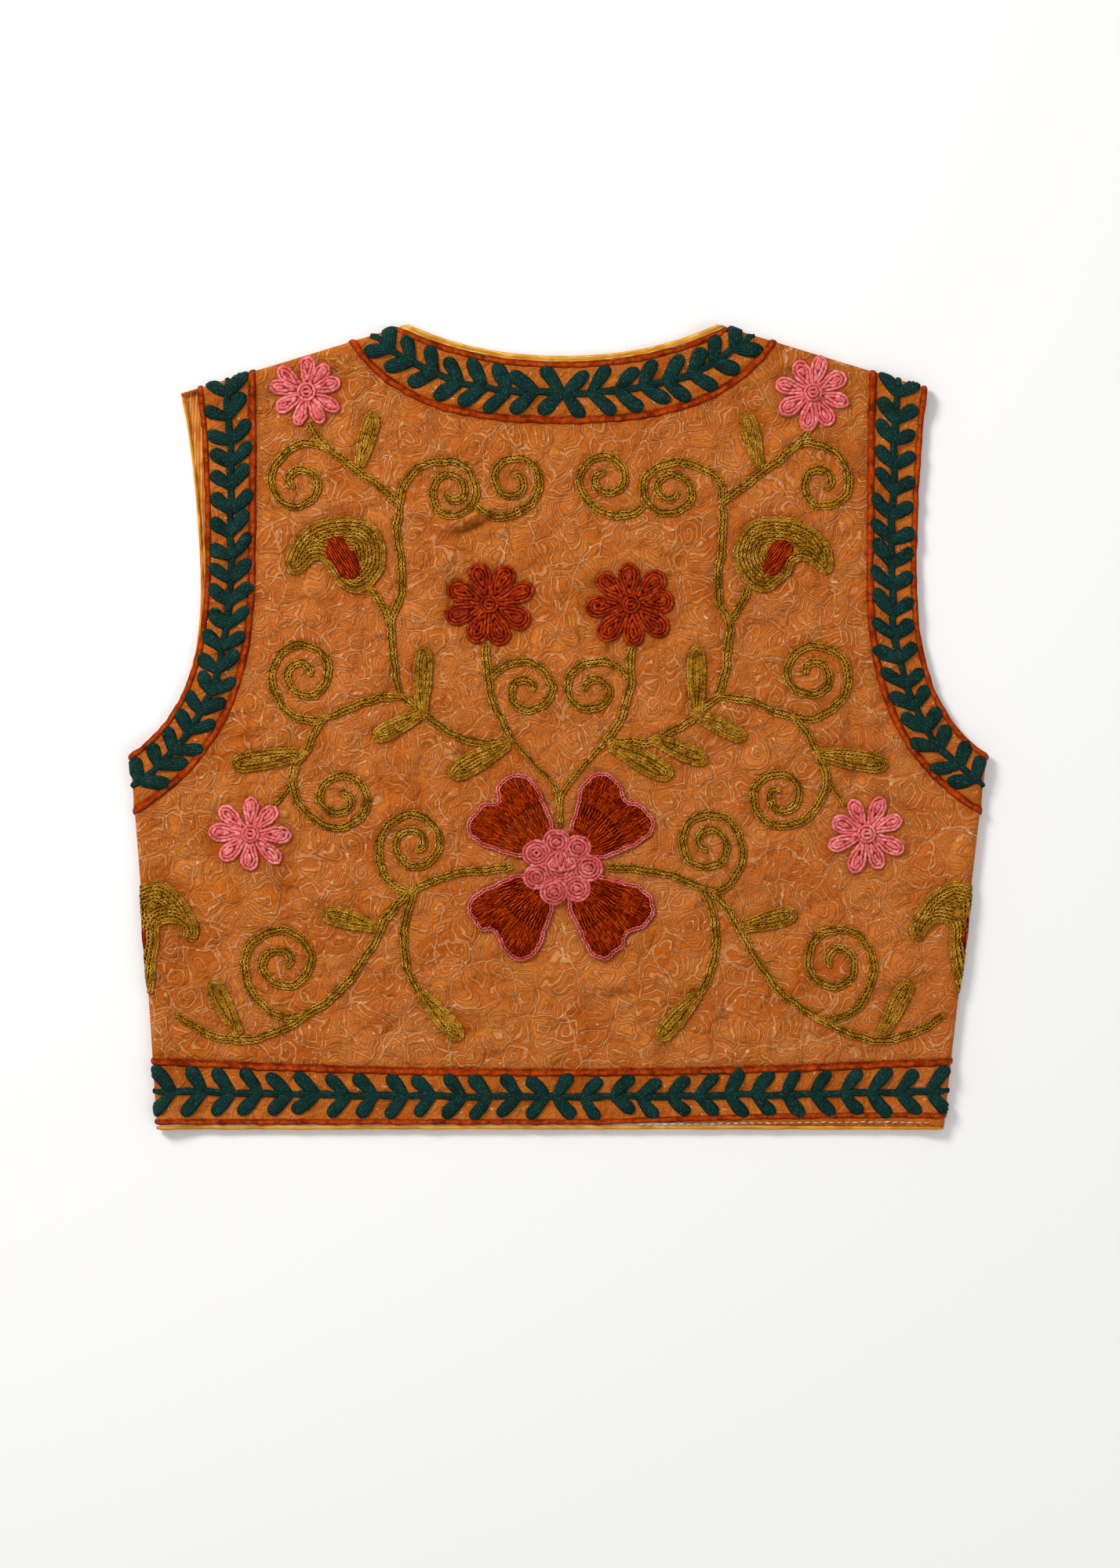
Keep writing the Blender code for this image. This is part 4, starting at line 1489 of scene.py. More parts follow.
@dataclass
class FrontCloth:
    """One front, under the back: its panel and its edge, armhole and hem bands."""

    tailor: Tailor
    side: Side
    inset: float = 1.5 * MM
    hem_roll_width: float = 2.2 * MM
    step: float = 4.0 * MM

    def edge_line(self, inset: float, low_y: float) -> Path:
        """The front's neckline and straight edge, inset into the cloth.

        Args:
            inset: how far in from the edge.
            low_y: where it starts.

        Returns:
            The line on the right.
        """
        cut = self.tailor.cut
        low_x, top_x = cut.front_gap / 2 + inset, cut.neck_half_width + inset
        top = (top_x, cut.shoulder_y(top_x))
        straight = [(low_x, low_y + (cut.front_neck_y - low_y) * k / 3) for k in range(4)]
        turn = (straight[-1], (low_x, cut.front_neck_y + 0.045), (top_x - 0.018, top[1] - 0.060), top)
        return Path.bezier((straight, turn))

    def build(self) -> None:
        """Builds the front's four pieces, face down on the floor."""
        t, cut, word = self.tailor, self.tailor.cut, self.side.word
        radius = t.lie.fold_radius
        flip = np.array([self.side.value, 1])
        floor_piece = ["floor"]
        lining = t.palette.facing
        low_y = cut.hem_y + self.inset + self.hem_roll_width
        arm_shares = fold_shares(cut.armhole_seam.length, radius, True, True, self.step)
        arm = cut.arm_line(cut.armhole_seam, arm_shares, 0.0, cut.armhole_seam_side_y, Side.RIGHT)
        heights = np.linspace(cut.hem_seam_side_y, arm[0][1], 34, endpoint=False)
        right = np.vstack([np.column_stack([cut.side_x(heights), heights]), arm])
        v = np.concatenate([[0], np.cumsum(np.linalg.norm(np.diff(right, axis=0), axis=1))])
        v /= v[-1]
        inner = self.edge_line(cut.front_band_width, cut.hem_seam_side_y).at(v)
        u = fold_shares(0.2, radius, False, True, self.step)
        bottom = inner[0] * (1 - u[:, None]) + right[0] * u[:, None]
        top = inner[-1] * (1 - u[:, None]) + right[-1] * u[:, None]
        grid = t.patch(bottom, top, inner, right, u, v) * flip
        t.sheet(f"front_panel_{word}", grid, Face.DOWN, Slot.CLOTH, lining, floor_piece)
        lines = []
        for inset in (cut.front_band_width, 0.0):
            line = self.edge_line(inset, cut.hem_seam_side_y).at(v)
            heights = np.linspace(low_y, line[0, 1], 8, endpoint=False)
            foot = np.column_stack([np.full(8, line[0, 0]), heights])
            lines.append(np.vstack([foot, line]) * flip)
        t.sheet(f"front_edge_band_{word}", t.strip(*lines, 8), Face.DOWN, Slot.BAND, lining, floor_piece)
        low = cut.arm_line(cut.armhole_seam, arm_shares, 0.0, cut.armhole_seam_side_y, self.side)
        high = cut.facing_line(arm_shares, self.side)
        grid = t.strip(low, high, 20)
        t.sheet(f"front_armhole_band_{word}", grid, Face.DOWN, Slot.BAND, lining, floor_piece)
        if self.side is Side.LEFT:
            edge = cut.facing_line(np.linspace(0.35, 1, 90), self.side)
            inner_edge = edge + [1.7 * MM, 0]
            finish = (t.palette.roll,)
            t.cord("facing_roll_left", edge, inner_edge, 1.5 * MM, -2.2 * MM, finish, Slot.LINING, (), 0.1)
        lines = []
        for y in (low_y, cut.hem_seam_side_y):
            x = inner[0, 0] * (1 - u) + float(cut.side_x(y)) * u
            lines.append(np.column_stack([x, np.full(len(u), y)]) * flip)
        t.sheet(f"front_hem_band_{word}", t.strip(*lines, 8), Face.DOWN, Slot.BAND, lining, floor_piece)


# ---------------------------------------------------------------------------------------------
# Stitches
# ---------------------------------------------------------------------------------------------


@dataclass(frozen=True)
class StitchForm:
    """The shape of one stitch, in its own length, width and height."""

    places: Points
    faces: tuple[tuple[int, ...], ...]
    shaded: tuple[bool, ...]

    @staticmethod
    def strand(builder: bmesh.types.BMesh, route: Route, radius: float, sides: int) -> None:
        """Adds a strand of thread along a short route.

        Args:
            builder: the mesh that takes it.
            route: points from the strand's tail to its head.
            radius: the strand's radius.
            sides: how many faces go round it.
        """
        rings = []
        for i, point in enumerate(route):
            ahead = Vector(route[min(i + 1, len(route) - 1)]) - Vector(route[max(i - 1, 0)])
            turn = ahead.to_track_quat("Z", "X").to_matrix().to_4x4()
            matrix = Matrix.Translation(point) @ turn
            end = i in (0, len(route) - 1)
            ring = bmesh.ops.create_circle(
                builder, cap_ends=end, radius=radius * (0.7 if end else 1.0), segments=sides, matrix=matrix
            )["verts"]
            rings.append({e for v in ring for e in v.link_edges})
        for one, other in zip(rings, rings[1:]):
            bmesh.ops.bridge_loops(builder, edges=[*one, *other])

    @classmethod
    def of(cls, routes: Sequence[Route], radius: float, bed: bool, sides: int = 3) -> "StitchForm":
        """Makes a stitch.

        Args:
            routes: the route of each strand, from the stitch's tail to its head.
            radius: the strands' radius, as a share of the stitch.
            bed: whether a low bed of painted shade lies under the strands.
            sides: how many faces go round a strand.

        Returns:
            The stitch's form.
        """
        builder = bmesh.new()
        for route in routes:
            cls.strand(builder, route, radius, sides)
        bmesh.ops.recalc_face_normals(builder, faces=builder.faces[:])
        strands = len(builder.faces)
        if bed:
            scale = Matrix.Diagonal((1.06, 0.92, 0.34, 1.0))
            bmesh.ops.create_cube(builder, size=1.0, matrix=Matrix.Translation((0.5, 0, 0.05)) @ scale)
        builder.faces.ensure_lookup_table()
        places = coordinates(builder)
        faces = tuple(tuple(v.index for v in f.verts) for f in builder.faces)
        shaded = tuple(i >= strands for i in range(len(faces)))
        builder.free()
        return cls(places, faces, shaded)


def bowed(reach: float) -> Route:
    """The route of one side of a chain link, bowed out by reach."""
    runs, bows, rises = (-0.12, 0.30, 0.74, 1.12), (0.10, 0.62, 0.60, 0.14), (0.12, 0.62, 0.66, 0.40)
    return [(run, bow * reach, rise) for run, bow, rise in zip(runs, bows, rises)]


@dataclass
class Needlework:
    """Rows of one kind of stitch in one thread, gathered and then made into one piece."""

    name: str
    tailor: Tailor
    form: StitchForm
    materials: Materials
    slot: Slot
    seed: int
    origins: list[Points] = field(default_factory=list)
    headings: list[Points] = field(default_factory=list)
    sizes: list[Points] = field(default_factory=list)
    lifts: list[Points] = field(default_factory=list)

    def add(
        self, origins: Points, headings: Points, length: float, width: float, height: float, lift: Points
    ) -> None:
        """Adds stitches at places, each heading its own way.

        Args:
            origins: where each stitch starts.
            headings: each stitch's unit direction.
            length: the stitches' length.
            width: their width.
            height: how far they stand up.
            lift: how far their feet stand off the cloth.
        """
        count = len(origins)
        rng = np.random.default_rng(self.seed + len(self.origins) * 17)
        jitter = 1 + rng.uniform(-0.09, 0.09, (count, 3))
        self.origins.append(origins + rng.normal(0, 0.07 * MM, (count, 2)))
        turn = rng.normal(0, 0.07, count)
        c, s = np.cos(turn), np.sin(turn)
        x, y = headings[:, 0], headings[:, 1]
        self.headings.append(np.column_stack([x * c - y * s, x * s + y * c]))
        self.sizes.append(np.array([length, width, height]) * jitter)
        self.lifts.append(np.broadcast_to(lift, count))

    def row(
        self, path: Path, pitch: float, width: float, height: float = 1.0 * MM, lift: float = 0.0
    ) -> None:
        """Adds a row of stitches along a line.

        Args:
            path: the line.
            pitch: how long each stitch is, before it is fitted to the line.
            width: the stitches' width.
            height: how far they stand up.
            lift: how far their feet stand off the cloth.
        """
        count = max(int(round(path.length / pitch)), 1)
        shares = np.arange(count) / count
        middle = shares + 0.5 / count
        origins = path.at(shares)
        self.add(origins, path.tangents(middle), path.length / count, width, height, np.full(count, lift))

    def build(self) -> bpy.types.Object:
        """Makes the piece: every stitch, laid on the cloth."""
        origins, headings = np.vstack(self.origins), np.vstack(self.headings)
        sizes, lifts = np.vstack(self.sizes), np.concatenate(self.lifts)
        count, corners = len(origins), len(self.form.places)
        unit_places = self.form.places
        along = sizes[:, :1] * unit_places[None, :, 0]
        across = sizes[:, 1:2] * unit_places[None, :, 1]
        up = sizes[:, 2:3] * unit_places[None, :, 2] + lifts[:, None]
        sideways = np.column_stack([-headings[:, 1], headings[:, 0]])
        flat = origins[:, None] + headings[:, None] * along[..., None] + sideways[:, None] * across[..., None]
        places = self.tailor.lie.on_back(flat.reshape(-1, 2), up.ravel())
        faces = self.form.faces
        lengths = np.array([len(f) for f in faces])
        flat_faces = np.concatenate([np.array(f) for f in faces])
        loops = (flat_faces[None] + np.arange(count)[:, None] * corners).ravel()
        mesh = bpy.data.meshes.new(self.name)
        mesh.vertices.add(len(places))
        mesh.vertices.foreach_set("co", places.astype(np.float32).ravel())
        mesh.loops.add(len(loops))
        mesh.loops.foreach_set("vertex_index", loops.astype(np.int32))
        mesh.polygons.add(len(faces) * count)
        starts = np.concatenate([[0], np.cumsum(np.tile(lengths, count))[:-1]])
        mesh.polygons.foreach_set("loop_start", starts.astype(np.int32))
        material = np.tile(np.array(self.form.shaded, int), count)
        mesh.polygons.foreach_set("material_index", material.astype(np.int32))
        mesh.update(calc_edges=True)
        tints = np.repeat(np.random.default_rng(self.seed).uniform(0, 1, count), corners)
        mark_points(mesh, {"tint": tints})
        return add_piece(self.name, mesh, self.materials)


def contour_rows(outline: Path, pitch: float) -> list[tuple[Path, float]]:
    """Rows inside an outline, each a pitch further in.

    Args:
        outline: a closed outline, drawn anticlockwise.
        pitch: the distance between rows.

    Returns:
        Each row, with its distance in from the outline.
    """
    count = max(int(outline.length / (0.8 * MM)), 24)
    shares = np.arange(count) / count
    edge = outline.at(shares)
    rows: list[tuple[Path, float]] = []
    depth, last = pitch / 2, False
    while True:
        inner = outline.beside(shares, depth)
        kept = nearest(inner, edge) > depth - 0.12 * pitch
        if not kept.any():
            if last or not rows:
                return rows
            last, depth = True, depth - 0.45 * pitch
            continue
        if kept.all():
            rows.append((Path(inner, closed=True), depth))
        else:
            start = int(np.argmin(kept))
            order = np.roll(np.arange(count), -start)
            run: list[int] = []
            for index in [*order, -1]:
                gap = index >= 0 and run and np.linalg.norm(inner[index] - inner[run[-1]]) > 1.6 * pitch
                if index >= 0 and kept[index] and not gap:
                    run.append(int(index))
                    continue
                if index >= 0 and not kept[index] and run:
                    continue
                if len(run) > 2:
                    line = Path(inner[run])
                    if line.length > pitch * 0.8:
                        rows.append((line, depth))
                run = [int(index)] if index >= 0 and kept[index] else []
        if last:
            return rows
        depth += pitch


def circle(count: int) -> Points:
    """Points round a circle of radius one."""
    angles = np.linspace(0, 2 * math.pi, count, endpoint=False)
    return np.column_stack([np.cos(angles), np.sin(angles)])


def club(foot: Points, heading: Points, length: float, width: float, shape: Sequence[Place]) -> Path:
    """A closed outline about an axis.

    Args:
        foot: where the axis starts.
        heading: the axis's direction.
        length: its length.
        width: the outline's width.
        shape: rows of a share of the length and the half width there, as a share of the width.

    Returns:
        The outline.
    """
    along = heading / np.linalg.norm(heading)
    sideways = np.array([-along[1], along[0]])
    half = [(r * length, w * width) for r, w in shape]
    loop = half + [(r, -w) for r, w in half[-2::-1]]
    return Path.through(np.array([foot + r * along + w * sideways for r, w in loop]), closed=True)


def anticlockwise(path: Path) -> Path:
    """A closed outline, turned so that its inside is on its left."""
    x, y = path.points[:, 0], path.points[:, 1]
    area = float(np.sum(x[:-1] * y[1:] - x[1:] * y[:-1]))
    return path if area > 0 else Path(path.points[::-1][:-1], closed=True)


@dataclass
class Embroiderer:
    """Works motifs in chain stitch and short stitches."""

    tailor: Tailor
    pitch: float = 2.15 * MM
    row_width: float = 2.15 * MM
    link: float = 2.35 * MM
    smooth: bool = False

    def __post_init__(self) -> None:
        """Makes the stitches' forms."""
        if self.smooth:
            ridge = [(-0.10, 0, 0.34), (0.25, 0, 0.52), (0.75, 0, 0.54), (1.08, 0, 0.36)]
            self.chain = StitchForm.of([ridge], 0.43, bed=True, sides=6)
        else:
            self.chain = StitchForm.of([bowed(0.62), bowed(-0.62)], 0.225, bed=True)
        arch = [(0.0, 0, 0.05), (0.3, 0, 0.5), (0.7, 0, 0.5), (1.0, 0, 0.05)]
        self.short = StitchForm.of([arch], 0.42, bed=False)

    def work(
        self, name: str, form: StitchForm, materials: Materials, slot: Slot, seed: int
    ) -> Needlework:
        """Starts a piece of needlework."""
        return Needlework(name, self.tailor, form, materials, slot, seed)

    def fill(self, work: Needlework, outline: Path, crown: float = 0.5 * MM, skip: int = 0) -> None:
        """Fills an outline with rows of chain that follow it, raised towards the middle.

        Args:
            work: the needlework that takes the rows.
            outline: the outline.
            crown: how far the middle is raised.
            skip: how many rows to leave out along the edge.
        """
        outline = anticlockwise(outline)
        for row, depth in contour_rows(outline, self.pitch):
            if depth > skip * self.pitch:
                lift = crown * min(depth / (5 * MM), 1.0)
                work.row(row, self.link, self.row_width, lift=lift)
        self.note(outline)

    def mound(self, work: Needlework, outline: Path, lift: float, slope: float) -> None:
        """Fills an outline with rows of chain, lifted, and rising inwards by a slope."""
        for row, depth in contour_rows(anticlockwise(outline), self.pitch):
            work.row(row, self.link, self.row_width, lift=lift + slope * depth)

    def note(self, path: Path) -> None:
        """Keeps where the cloth is stitched down, so that it dips there."""
        count = max(int(path.length / (2.5 * MM)), 2)
        self.tailor.worked.append(path.at(np.linspace(0, 1, count)))

    def vine(self, work: Needlework, path: Path, rows: int = 2) -> None:
        """Works a vine as rows of chain side by side, drawn together at its ends.

        Args:
            work: the needlework that takes the rows.
            path: the vine's line.
            rows: how many rows lie side by side.
        """
        shares = np.linspace(0, 1, max(int(path.length / (0.8 * MM)), 8))
        run, start = shares * path.length, len(work.origins) * 1.7
        waver = 0.22 * MM * np.sin(run / (1.7 * MM) + start) + 0.3 * MM * np.sin(run / (3.6 * MM) + 2 * start)
        taper = np.clip(np.minimum(shares, 1 - shares) * path.length / (3 * MM), 0.25, 1.0)
        for k in range(rows):
            offset = (k - (rows - 1) / 2) * self.row_width * 1.02
            middle = path.at(shares)
            side = path.beside(shares, 1.0) - middle
            work.row(Path(middle + side * (offset * taper + waver)[:, None]), self.link, self.row_width)
        self.note(path)


# ---------------------------------------------------------------------------------------------
# Motifs
# ---------------------------------------------------------------------------------------------

# The right half of the design in millimetres: x from the centre back, y up from the middle.
STEMS = {
    "crown": [(90, 125), (103, 136), (117, 146), (130, 156), (137, 164), (140, 172)],
    "main": [(90, 125), (91, 108), (89, 86), (90, 71), (95, 59), (94, 44), (92, 29), (89, 17)],
    "paisley": [(95, 59), (100, 67), (106, 79)],
    "lap": [(89, 17), (82, 13), (75, 6), (64, -2), (50, -8), (38, -8), (27, -8)],
    "rust": [(41, 47), (40, 34), (39, 24), (36, 11), (31, -1), (26, -8)],
    "outer": [(89, 17), (99, 16.5), (110, 14), (121, 9), (131, 6)],
    "drop": [(131, 6), (138, -3), (143, -15)],
    "side": [(27, -78), (41, -79), (58, -82), (73, -87), (85, -92)],
    "foot": [(80, -89), (86, -104), (88, -120), (85, -136), (78, -150)],
    "low": [(85, -92), (97, -106), (106, -123), (119, -143), (133, -156), (146, -163)],
    "tail": [(142, -162), (158, -170), (176, -175), (193, -172.5), (206, -167), (215, -161)],
}
THIN_STEMS = {
    "join": [(26, -8), (20, -14), (11, -24), (3, -34), (0.5, -44), (0.5, -56)],
    "flower": [(147, -22), (152, -33), (160, -44)],
}
# Each spiral: where it leaves its stem, its centre, its outer radius, its turns, and whether it
# winds anticlockwise.
SPIRALS = (
    ((130, 156), (146.5, 136.5), 17.5, 1.5, False),
    ((90, 125), (62, 132), 17.5, 2.0, True),
    ((46.5, 124.5), (25.5, 139.5), 17.0, 1.65, False),
    ((37, 28), (18.5, 21.5), 16.6, 1.45, True),
    ((131, 6), (143, 29.5), 20.5, 1.85, True),
    ((143, -15), (123, -39), 19.0, 1.9, False),
    ((85, -92), (82.5, -65.5), 19.5, 1.95, True),
    ((143, -162), (155, -131), 22.5, 1.9, True),
)
# Each leaf: its foot, its tip and its width.
LEAVES = (
    ((112, 146), (104, 177), 10.0),
    ((77, 6), (76, 46), 10.5),
    ((77, 8), (104.5, -6), 10.0),
    ((29, -9), (63, -27.5), 12.5),
    ((144, -14), (184, -21), 11.5),
    ((78, -149), (54.5, -175), 11.0),
    ((102, -112), (133, -103.5), 11.0),
    ((180, -172), (196, -141), 10.5),
)
RIGHT_LEAF = ((52, -6), (83, -19), 10.5)
PAISLEY = [
    (106, 78), (99, 87), (97.5, 98), (101, 109), (109, 116), (120, 118), (133, 116), (144, 110),
    (151, 101), (153.5, 91), (151.5, 86), (147, 86), (142, 89.5), (137, 93.5), (132.5, 92.5),
    (129, 86), (123, 79.5), (115, 75.5),
]
PAISLEY_EYE = [
    (115, 83.2), (111, 87.2), (112, 93), (115, 98.6), (118.4, 104), (123, 107.8), (128.8, 106.2),
    (132.4, 101.7), (131, 96.2), (127.6, 90.6), (123.8, 85.6), (119.4, 82.3),
]
SIDE_PAISLEY = [
    (242, -95), (236, -89), (228, -86.5), (219.5, -88.5), (211, -95.5), (205, -104), (202, -113),
    (205, -119.5), (209.5, -118), (211, -113.5), (215.5, -110), (220.5, -109.5), (223.5, -112),
    (224, -121), (225.5, -131.5), (227, -142), (229, -149.5), (233, -146), (240, -140),
]
SIDE_EYE = [(241, -101), (235, -103), (232.3, -108), (231, -117), (231.5, -125), (234, -131), (241, -133)]
# Club outlines: rows of a share of the length and the half width there, as a share of the width.
LEAF = ((0.0, 0.24), (0.18, 0.36), (0.40, 0.46), (0.68, 0.50), (0.87, 0.44), (0.965, 0.26), (1.0, 0.0))
FLOWER_PETAL = ((0.16, 0.16), (0.40, 0.33), (0.64, 0.47), (0.83, 0.44), (0.95, 0.27), (1.0, 0.0))
FAN_PETAL = ((0, 0.8), (0.4, 2.9), (0.75, 3.6), (0.95, 2.0), (1.0, 0))
# Each paisley: its body, its eye, its seed, and how far in it lies on the right.
PAISLEYS = ((PAISLEY, PAISLEY_EYE, 80, 0.0), (SIDE_PAISLEY, SIDE_EYE, 81, 6.0))
RIGHT_EYE_SCALE = 0.86
PETAL = [
    (15, 7), (20, 12), (29, 17), (38, 21.5), (46, 23.5), (52.5, 20.5), (55.5, 14), (54.5, 6.5), (51, 0),
    (55, -6), (56, -13), (53, -19.5), (46, -22), (37, -20), (28, -16), (20, -12), (15, -7),
]


@dataclass
class Flower:
    """A round flower of club-shaped petals about a small coiled middle."""

    centre: tuple[float, float]
    radius: float
    petals: int
    petal_width: float
    turn: float
    seed: int

    def outlines(self) -> list[Path]:
        """The petals' outlines."""
        rng = np.random.default_rng(self.seed)
        rows = []
        for k in range(self.petals):
            angle = math.radians(self.turn) + 2 * math.pi * k / self.petals + rng.normal(0, 0.045)
            reach = self.radius * (1 + rng.uniform(-0.07, 0.07))
            width = self.petal_width * (1 + rng.uniform(-0.10, 0.10))
            heading = unit(math.cos(angle), math.sin(angle))
            rows.append(club(np.array(self.centre) * MM, heading, reach * MM, width * MM, FLOWER_PETAL))
        return rows

    def middle(self, radius: float) -> Path:
        """A ring about the flower's middle."""
        return Path((np.array(self.centre) + circle(24) * radius) * MM, closed=True)


@dataclass
class Garden:
    """The embroidered design: vines, spirals, leaves, paisleys and flowers."""

    tailor: Tailor
    centre_x: float = 0.8

    def __post_init__(self) -> None:
        """Takes up the needle."""
        self.hand = Embroiderer(self.tailor)
        self.fine = Embroiderer(self.tailor, 1.8 * MM, 2.0 * MM, 3.0 * MM, smooth=True)
        self.palette = self.tailor.palette

    def knots(self, rows: Sequence[tuple[float, float]], side: Side, seed: int) -> Points:
        """Given knots on one side, each moved a little so that the sides aren't twins."""
        rng = np.random.default_rng(seed * 2 + (side is Side.RIGHT))
        knots = np.array(rows, float) * [side.value, 1] + rng.normal(0, 0.35, (len(rows), 2))
        return (knots + [self.centre_x, 0]) * MM

    def spiral(
        self, start: Place, centre: Place, outer: float, turns: float, leftward: bool, side: Side, seed: int
    ) -> Path:
        """A vine that leaves a stem and winds in to its centre.

        Args:
            start: where it leaves the stem.
            centre: where it winds to.
            outer: its outer radius in millimetres.
            turns: how many times it goes round.
            leftward: whether it winds anticlockwise.
            side: the side of the waistcoat.
            seed: the seed of its small unevenness.

        Returns:
            The vine's line.
        """
        rng = np.random.default_rng(seed * 3 + (side is Side.RIGHT))
        gap = np.array(start, float) - np.array(centre, float)
        first, reach = math.atan2(gap[1], gap[0]), float(np.hypot(*gap))
        sense = 1 if leftward else -1
        t = np.linspace(0, 1, 90)
        angle = first + sense * t * turns * 2 * math.pi
        coil = 3.4 + (outer - 3.4) * (1 - t**1.22)
        lead = (reach - outer) * np.exp(-((t * turns / 0.16) ** 2))
        squash = 1 + rng.uniform(-0.05, 0.05)
        wind = np.column_stack([np.cos(angle) * squash, np.sin(angle) / squash]) * (coil + lead)[:, None]
        shift = rng.normal(0, 0.6, 2)
        fade = t[:, None] ** 0.5
        points = (np.array(centre) + wind + shift * fade) * [side.value, 1] + [self.centre_x, 0]
        return Path.through(points * MM)

    def leaf(self, foot: Place, tip: Place, width: float, side: Side, seed: int) -> Path:
        """A club-shaped leaf's outline."""
        start, end = self.knots([foot, tip], side, seed)
        return club(start, end - start, float(np.linalg.norm(end - start)), width * MM, LEAF)

    def vines(self, side: Side) -> None:
        """The vines, spirals and leaves of one side.

        Args:
            side: the side of the waistcoat.
        """
        work = self.hand.work(
            f"vines_{side.word}", self.hand.chain, self.palette.olive, Slot.OLIVE, 11 + side.value
        )
        for seed, rows in enumerate(STEMS.values()):
            self.hand.vine(work, Path.through(self.knots(rows, side, seed)))
        for seed, rows in enumerate(THIN_STEMS.values()):
            self.hand.vine(work, Path.through(self.knots(rows, side, 40 + seed)), rows=1)
        for seed, row in enumerate(SPIRALS):
            self.hand.vine(work, self.spiral(*row, side, seed))
        work.build()
        work = self.hand.work(
            f"leaves_{side.word}", self.hand.chain, self.palette.olive, Slot.OLIVE, 31 + side.value
        )
        leaves = LEAVES + ((RIGHT_LEAF,) if side is Side.RIGHT else ())
        outlines = [self.leaf(*row, side, 60 + seed) for seed, row in enumerate(leaves)]
        for outline in outlines:
            self.hand.fill(work, outline)
        work.build()
        self.bed(f"leaf_beds_{side.word}", outlines, 0.5 * MM, self.palette.olive[0], Slot.OLIVE)

    def paisleys(self, side: Side) -> None:
        """The hooked paisley on one side, and the half one that the side fold cuts.

        Args:
            side: the side of the waistcoat.
        """
        olive = self.hand.work(
            f"paisleys_{side.word}", self.hand.chain, self.palette.olive, Slot.OLIVE, 51 + side.value
        )
        eyes = self.hand.work(
            f"paisley_eyes_{side.word}", self.hand.short, self.palette.rust, Slot.RED, 71 + side.value
        )
        bodies, holes = [], []
        for body, eye, seed, right_inset in PAISLEYS:
            inward = right_inset * MM if side is Side.RIGHT else 0.0
            outline = Path.through(self.knots(body, side, seed) - [inward, 0], closed=True)
            bodies.append(outline)
            knots = self.knots(eye, side, seed + 10) - [inward, 0]
            if side is Side.RIGHT:
                knots = knots.mean(0) + (knots - knots.mean(0)) * RIGHT_EYE_SCALE
            hole = Path.through(knots, closed=True)
            part = self.hand.work("part", self.hand.chain, self.palette.olive, Slot.OLIVE, seed)
            self.hand.fill(part, outline, crown=0.7 * MM)
            for origins, headings, sizes, lifts in zip(part.origins, part.headings, part.sizes, part.lifts):
                outside = ~self.inside(origins, hole)
                olive.origins.append(origins[outside])
                olive.headings.append(headings[outside])
                olive.sizes.append(sizes[outside])
                olive.lifts.append(lifts[outside])
            holes.append(hole)
            self.short_fill(eyes, hole, None, 1.15 * MM)
        olive.build()
        eyes.build()
        self.bed(f"paisley_beds_{side.word}", bodies, 0.5 * MM, self.palette.olive[0], Slot.OLIVE)
        self.bed(f"paisley_eye_beds_{side.word}", holes, 1.3 * MM, self.palette.rust[1], Slot.RED)

    @staticmethod
    def inside(points: Points, outline: Path) -> Points:
        """Whether each point is inside a closed outline.

        Args:
            points: the points.
            outline: the closed outline.

        Returns:
            True for each point that is inside.
        """
        a, b = outline.points[:-1], outline.points[1:]
        x, y = points[:, 0:1], points[:, 1:2]
        spans = (a[None, :, 1] > y) != (b[None, :, 1] > y)
        rise = np.where(np.abs(b[:, 1] - a[:, 1]) < 1e-12, 1e-12, b[:, 1] - a[:, 1])
        crossing = a[None, :, 0] + (y - a[None, :, 1]) * (b[:, 0] - a[:, 0])[None] / rise[None]
        return (spans & (x < crossing)).sum(1) % 2 == 1

    def short_fill(self, work: Needlework, outline: Path, hub: Points | None, lift: float) -> None:
        """Fills an outline with short stitches, along its length or away from a hub.

        Args:
            work: the needlework that takes the stitches.
            outline: the outline to fill.
            hub: the point that the stitches radiate from, or None for stitches along the outline.
            lift: how far the filling is padded up.
        """
        length, width = 3.4 * MM, 1.35 * MM
        low, high = outline.points.min(0), outline.points.max(0)
        spread = outline.points - outline.points.mean(0)
        axis = np.linalg.svd(spread, full_matrices=False)[2][0]
        side = np.array([-axis[1], axis[0]])
        middle = (low + high) / 2
        reach = float(np.hypot(*(high - low))) / 2
        rng = np.random.default_rng(work.seed + 5)
        if hub is None:
            rows = np.arange(-reach, reach, width * 0.98)
            along = np.arange(-reach, reach, length * 0.86)
            grid_r, grid_a = np.meshgrid(rows, along, indexing="ij")
            grid_a = grid_a + (np.arange(len(rows)) % 2)[:, None] * length * 0.45
            points = middle + grid_a.reshape(-1, 1) * axis + grid_r.reshape(-1, 1) * side
            headings = np.tile(axis, (len(points), 1))
        else:
            points, headings = self.radiating(outline, hub, length, width)
        points = points + rng.normal(0, 0.07 * MM, points.shape)
        kept = self.inside(points + headings * length * 0.3, outline)
        kept &= self.inside(points + headings * length * 0.75, outline)
        points, headings = points[kept], headings[kept]
        depth = nearest(points + headings * length / 2, outline.points)
        raised = lift * np.clip(depth / (4 * MM), 0.15, 1.0) + rng.uniform(0, 0.22, len(points)) * MM
        work.add(points, headings, length * 1.12, width, 1.1 * MM, raised)

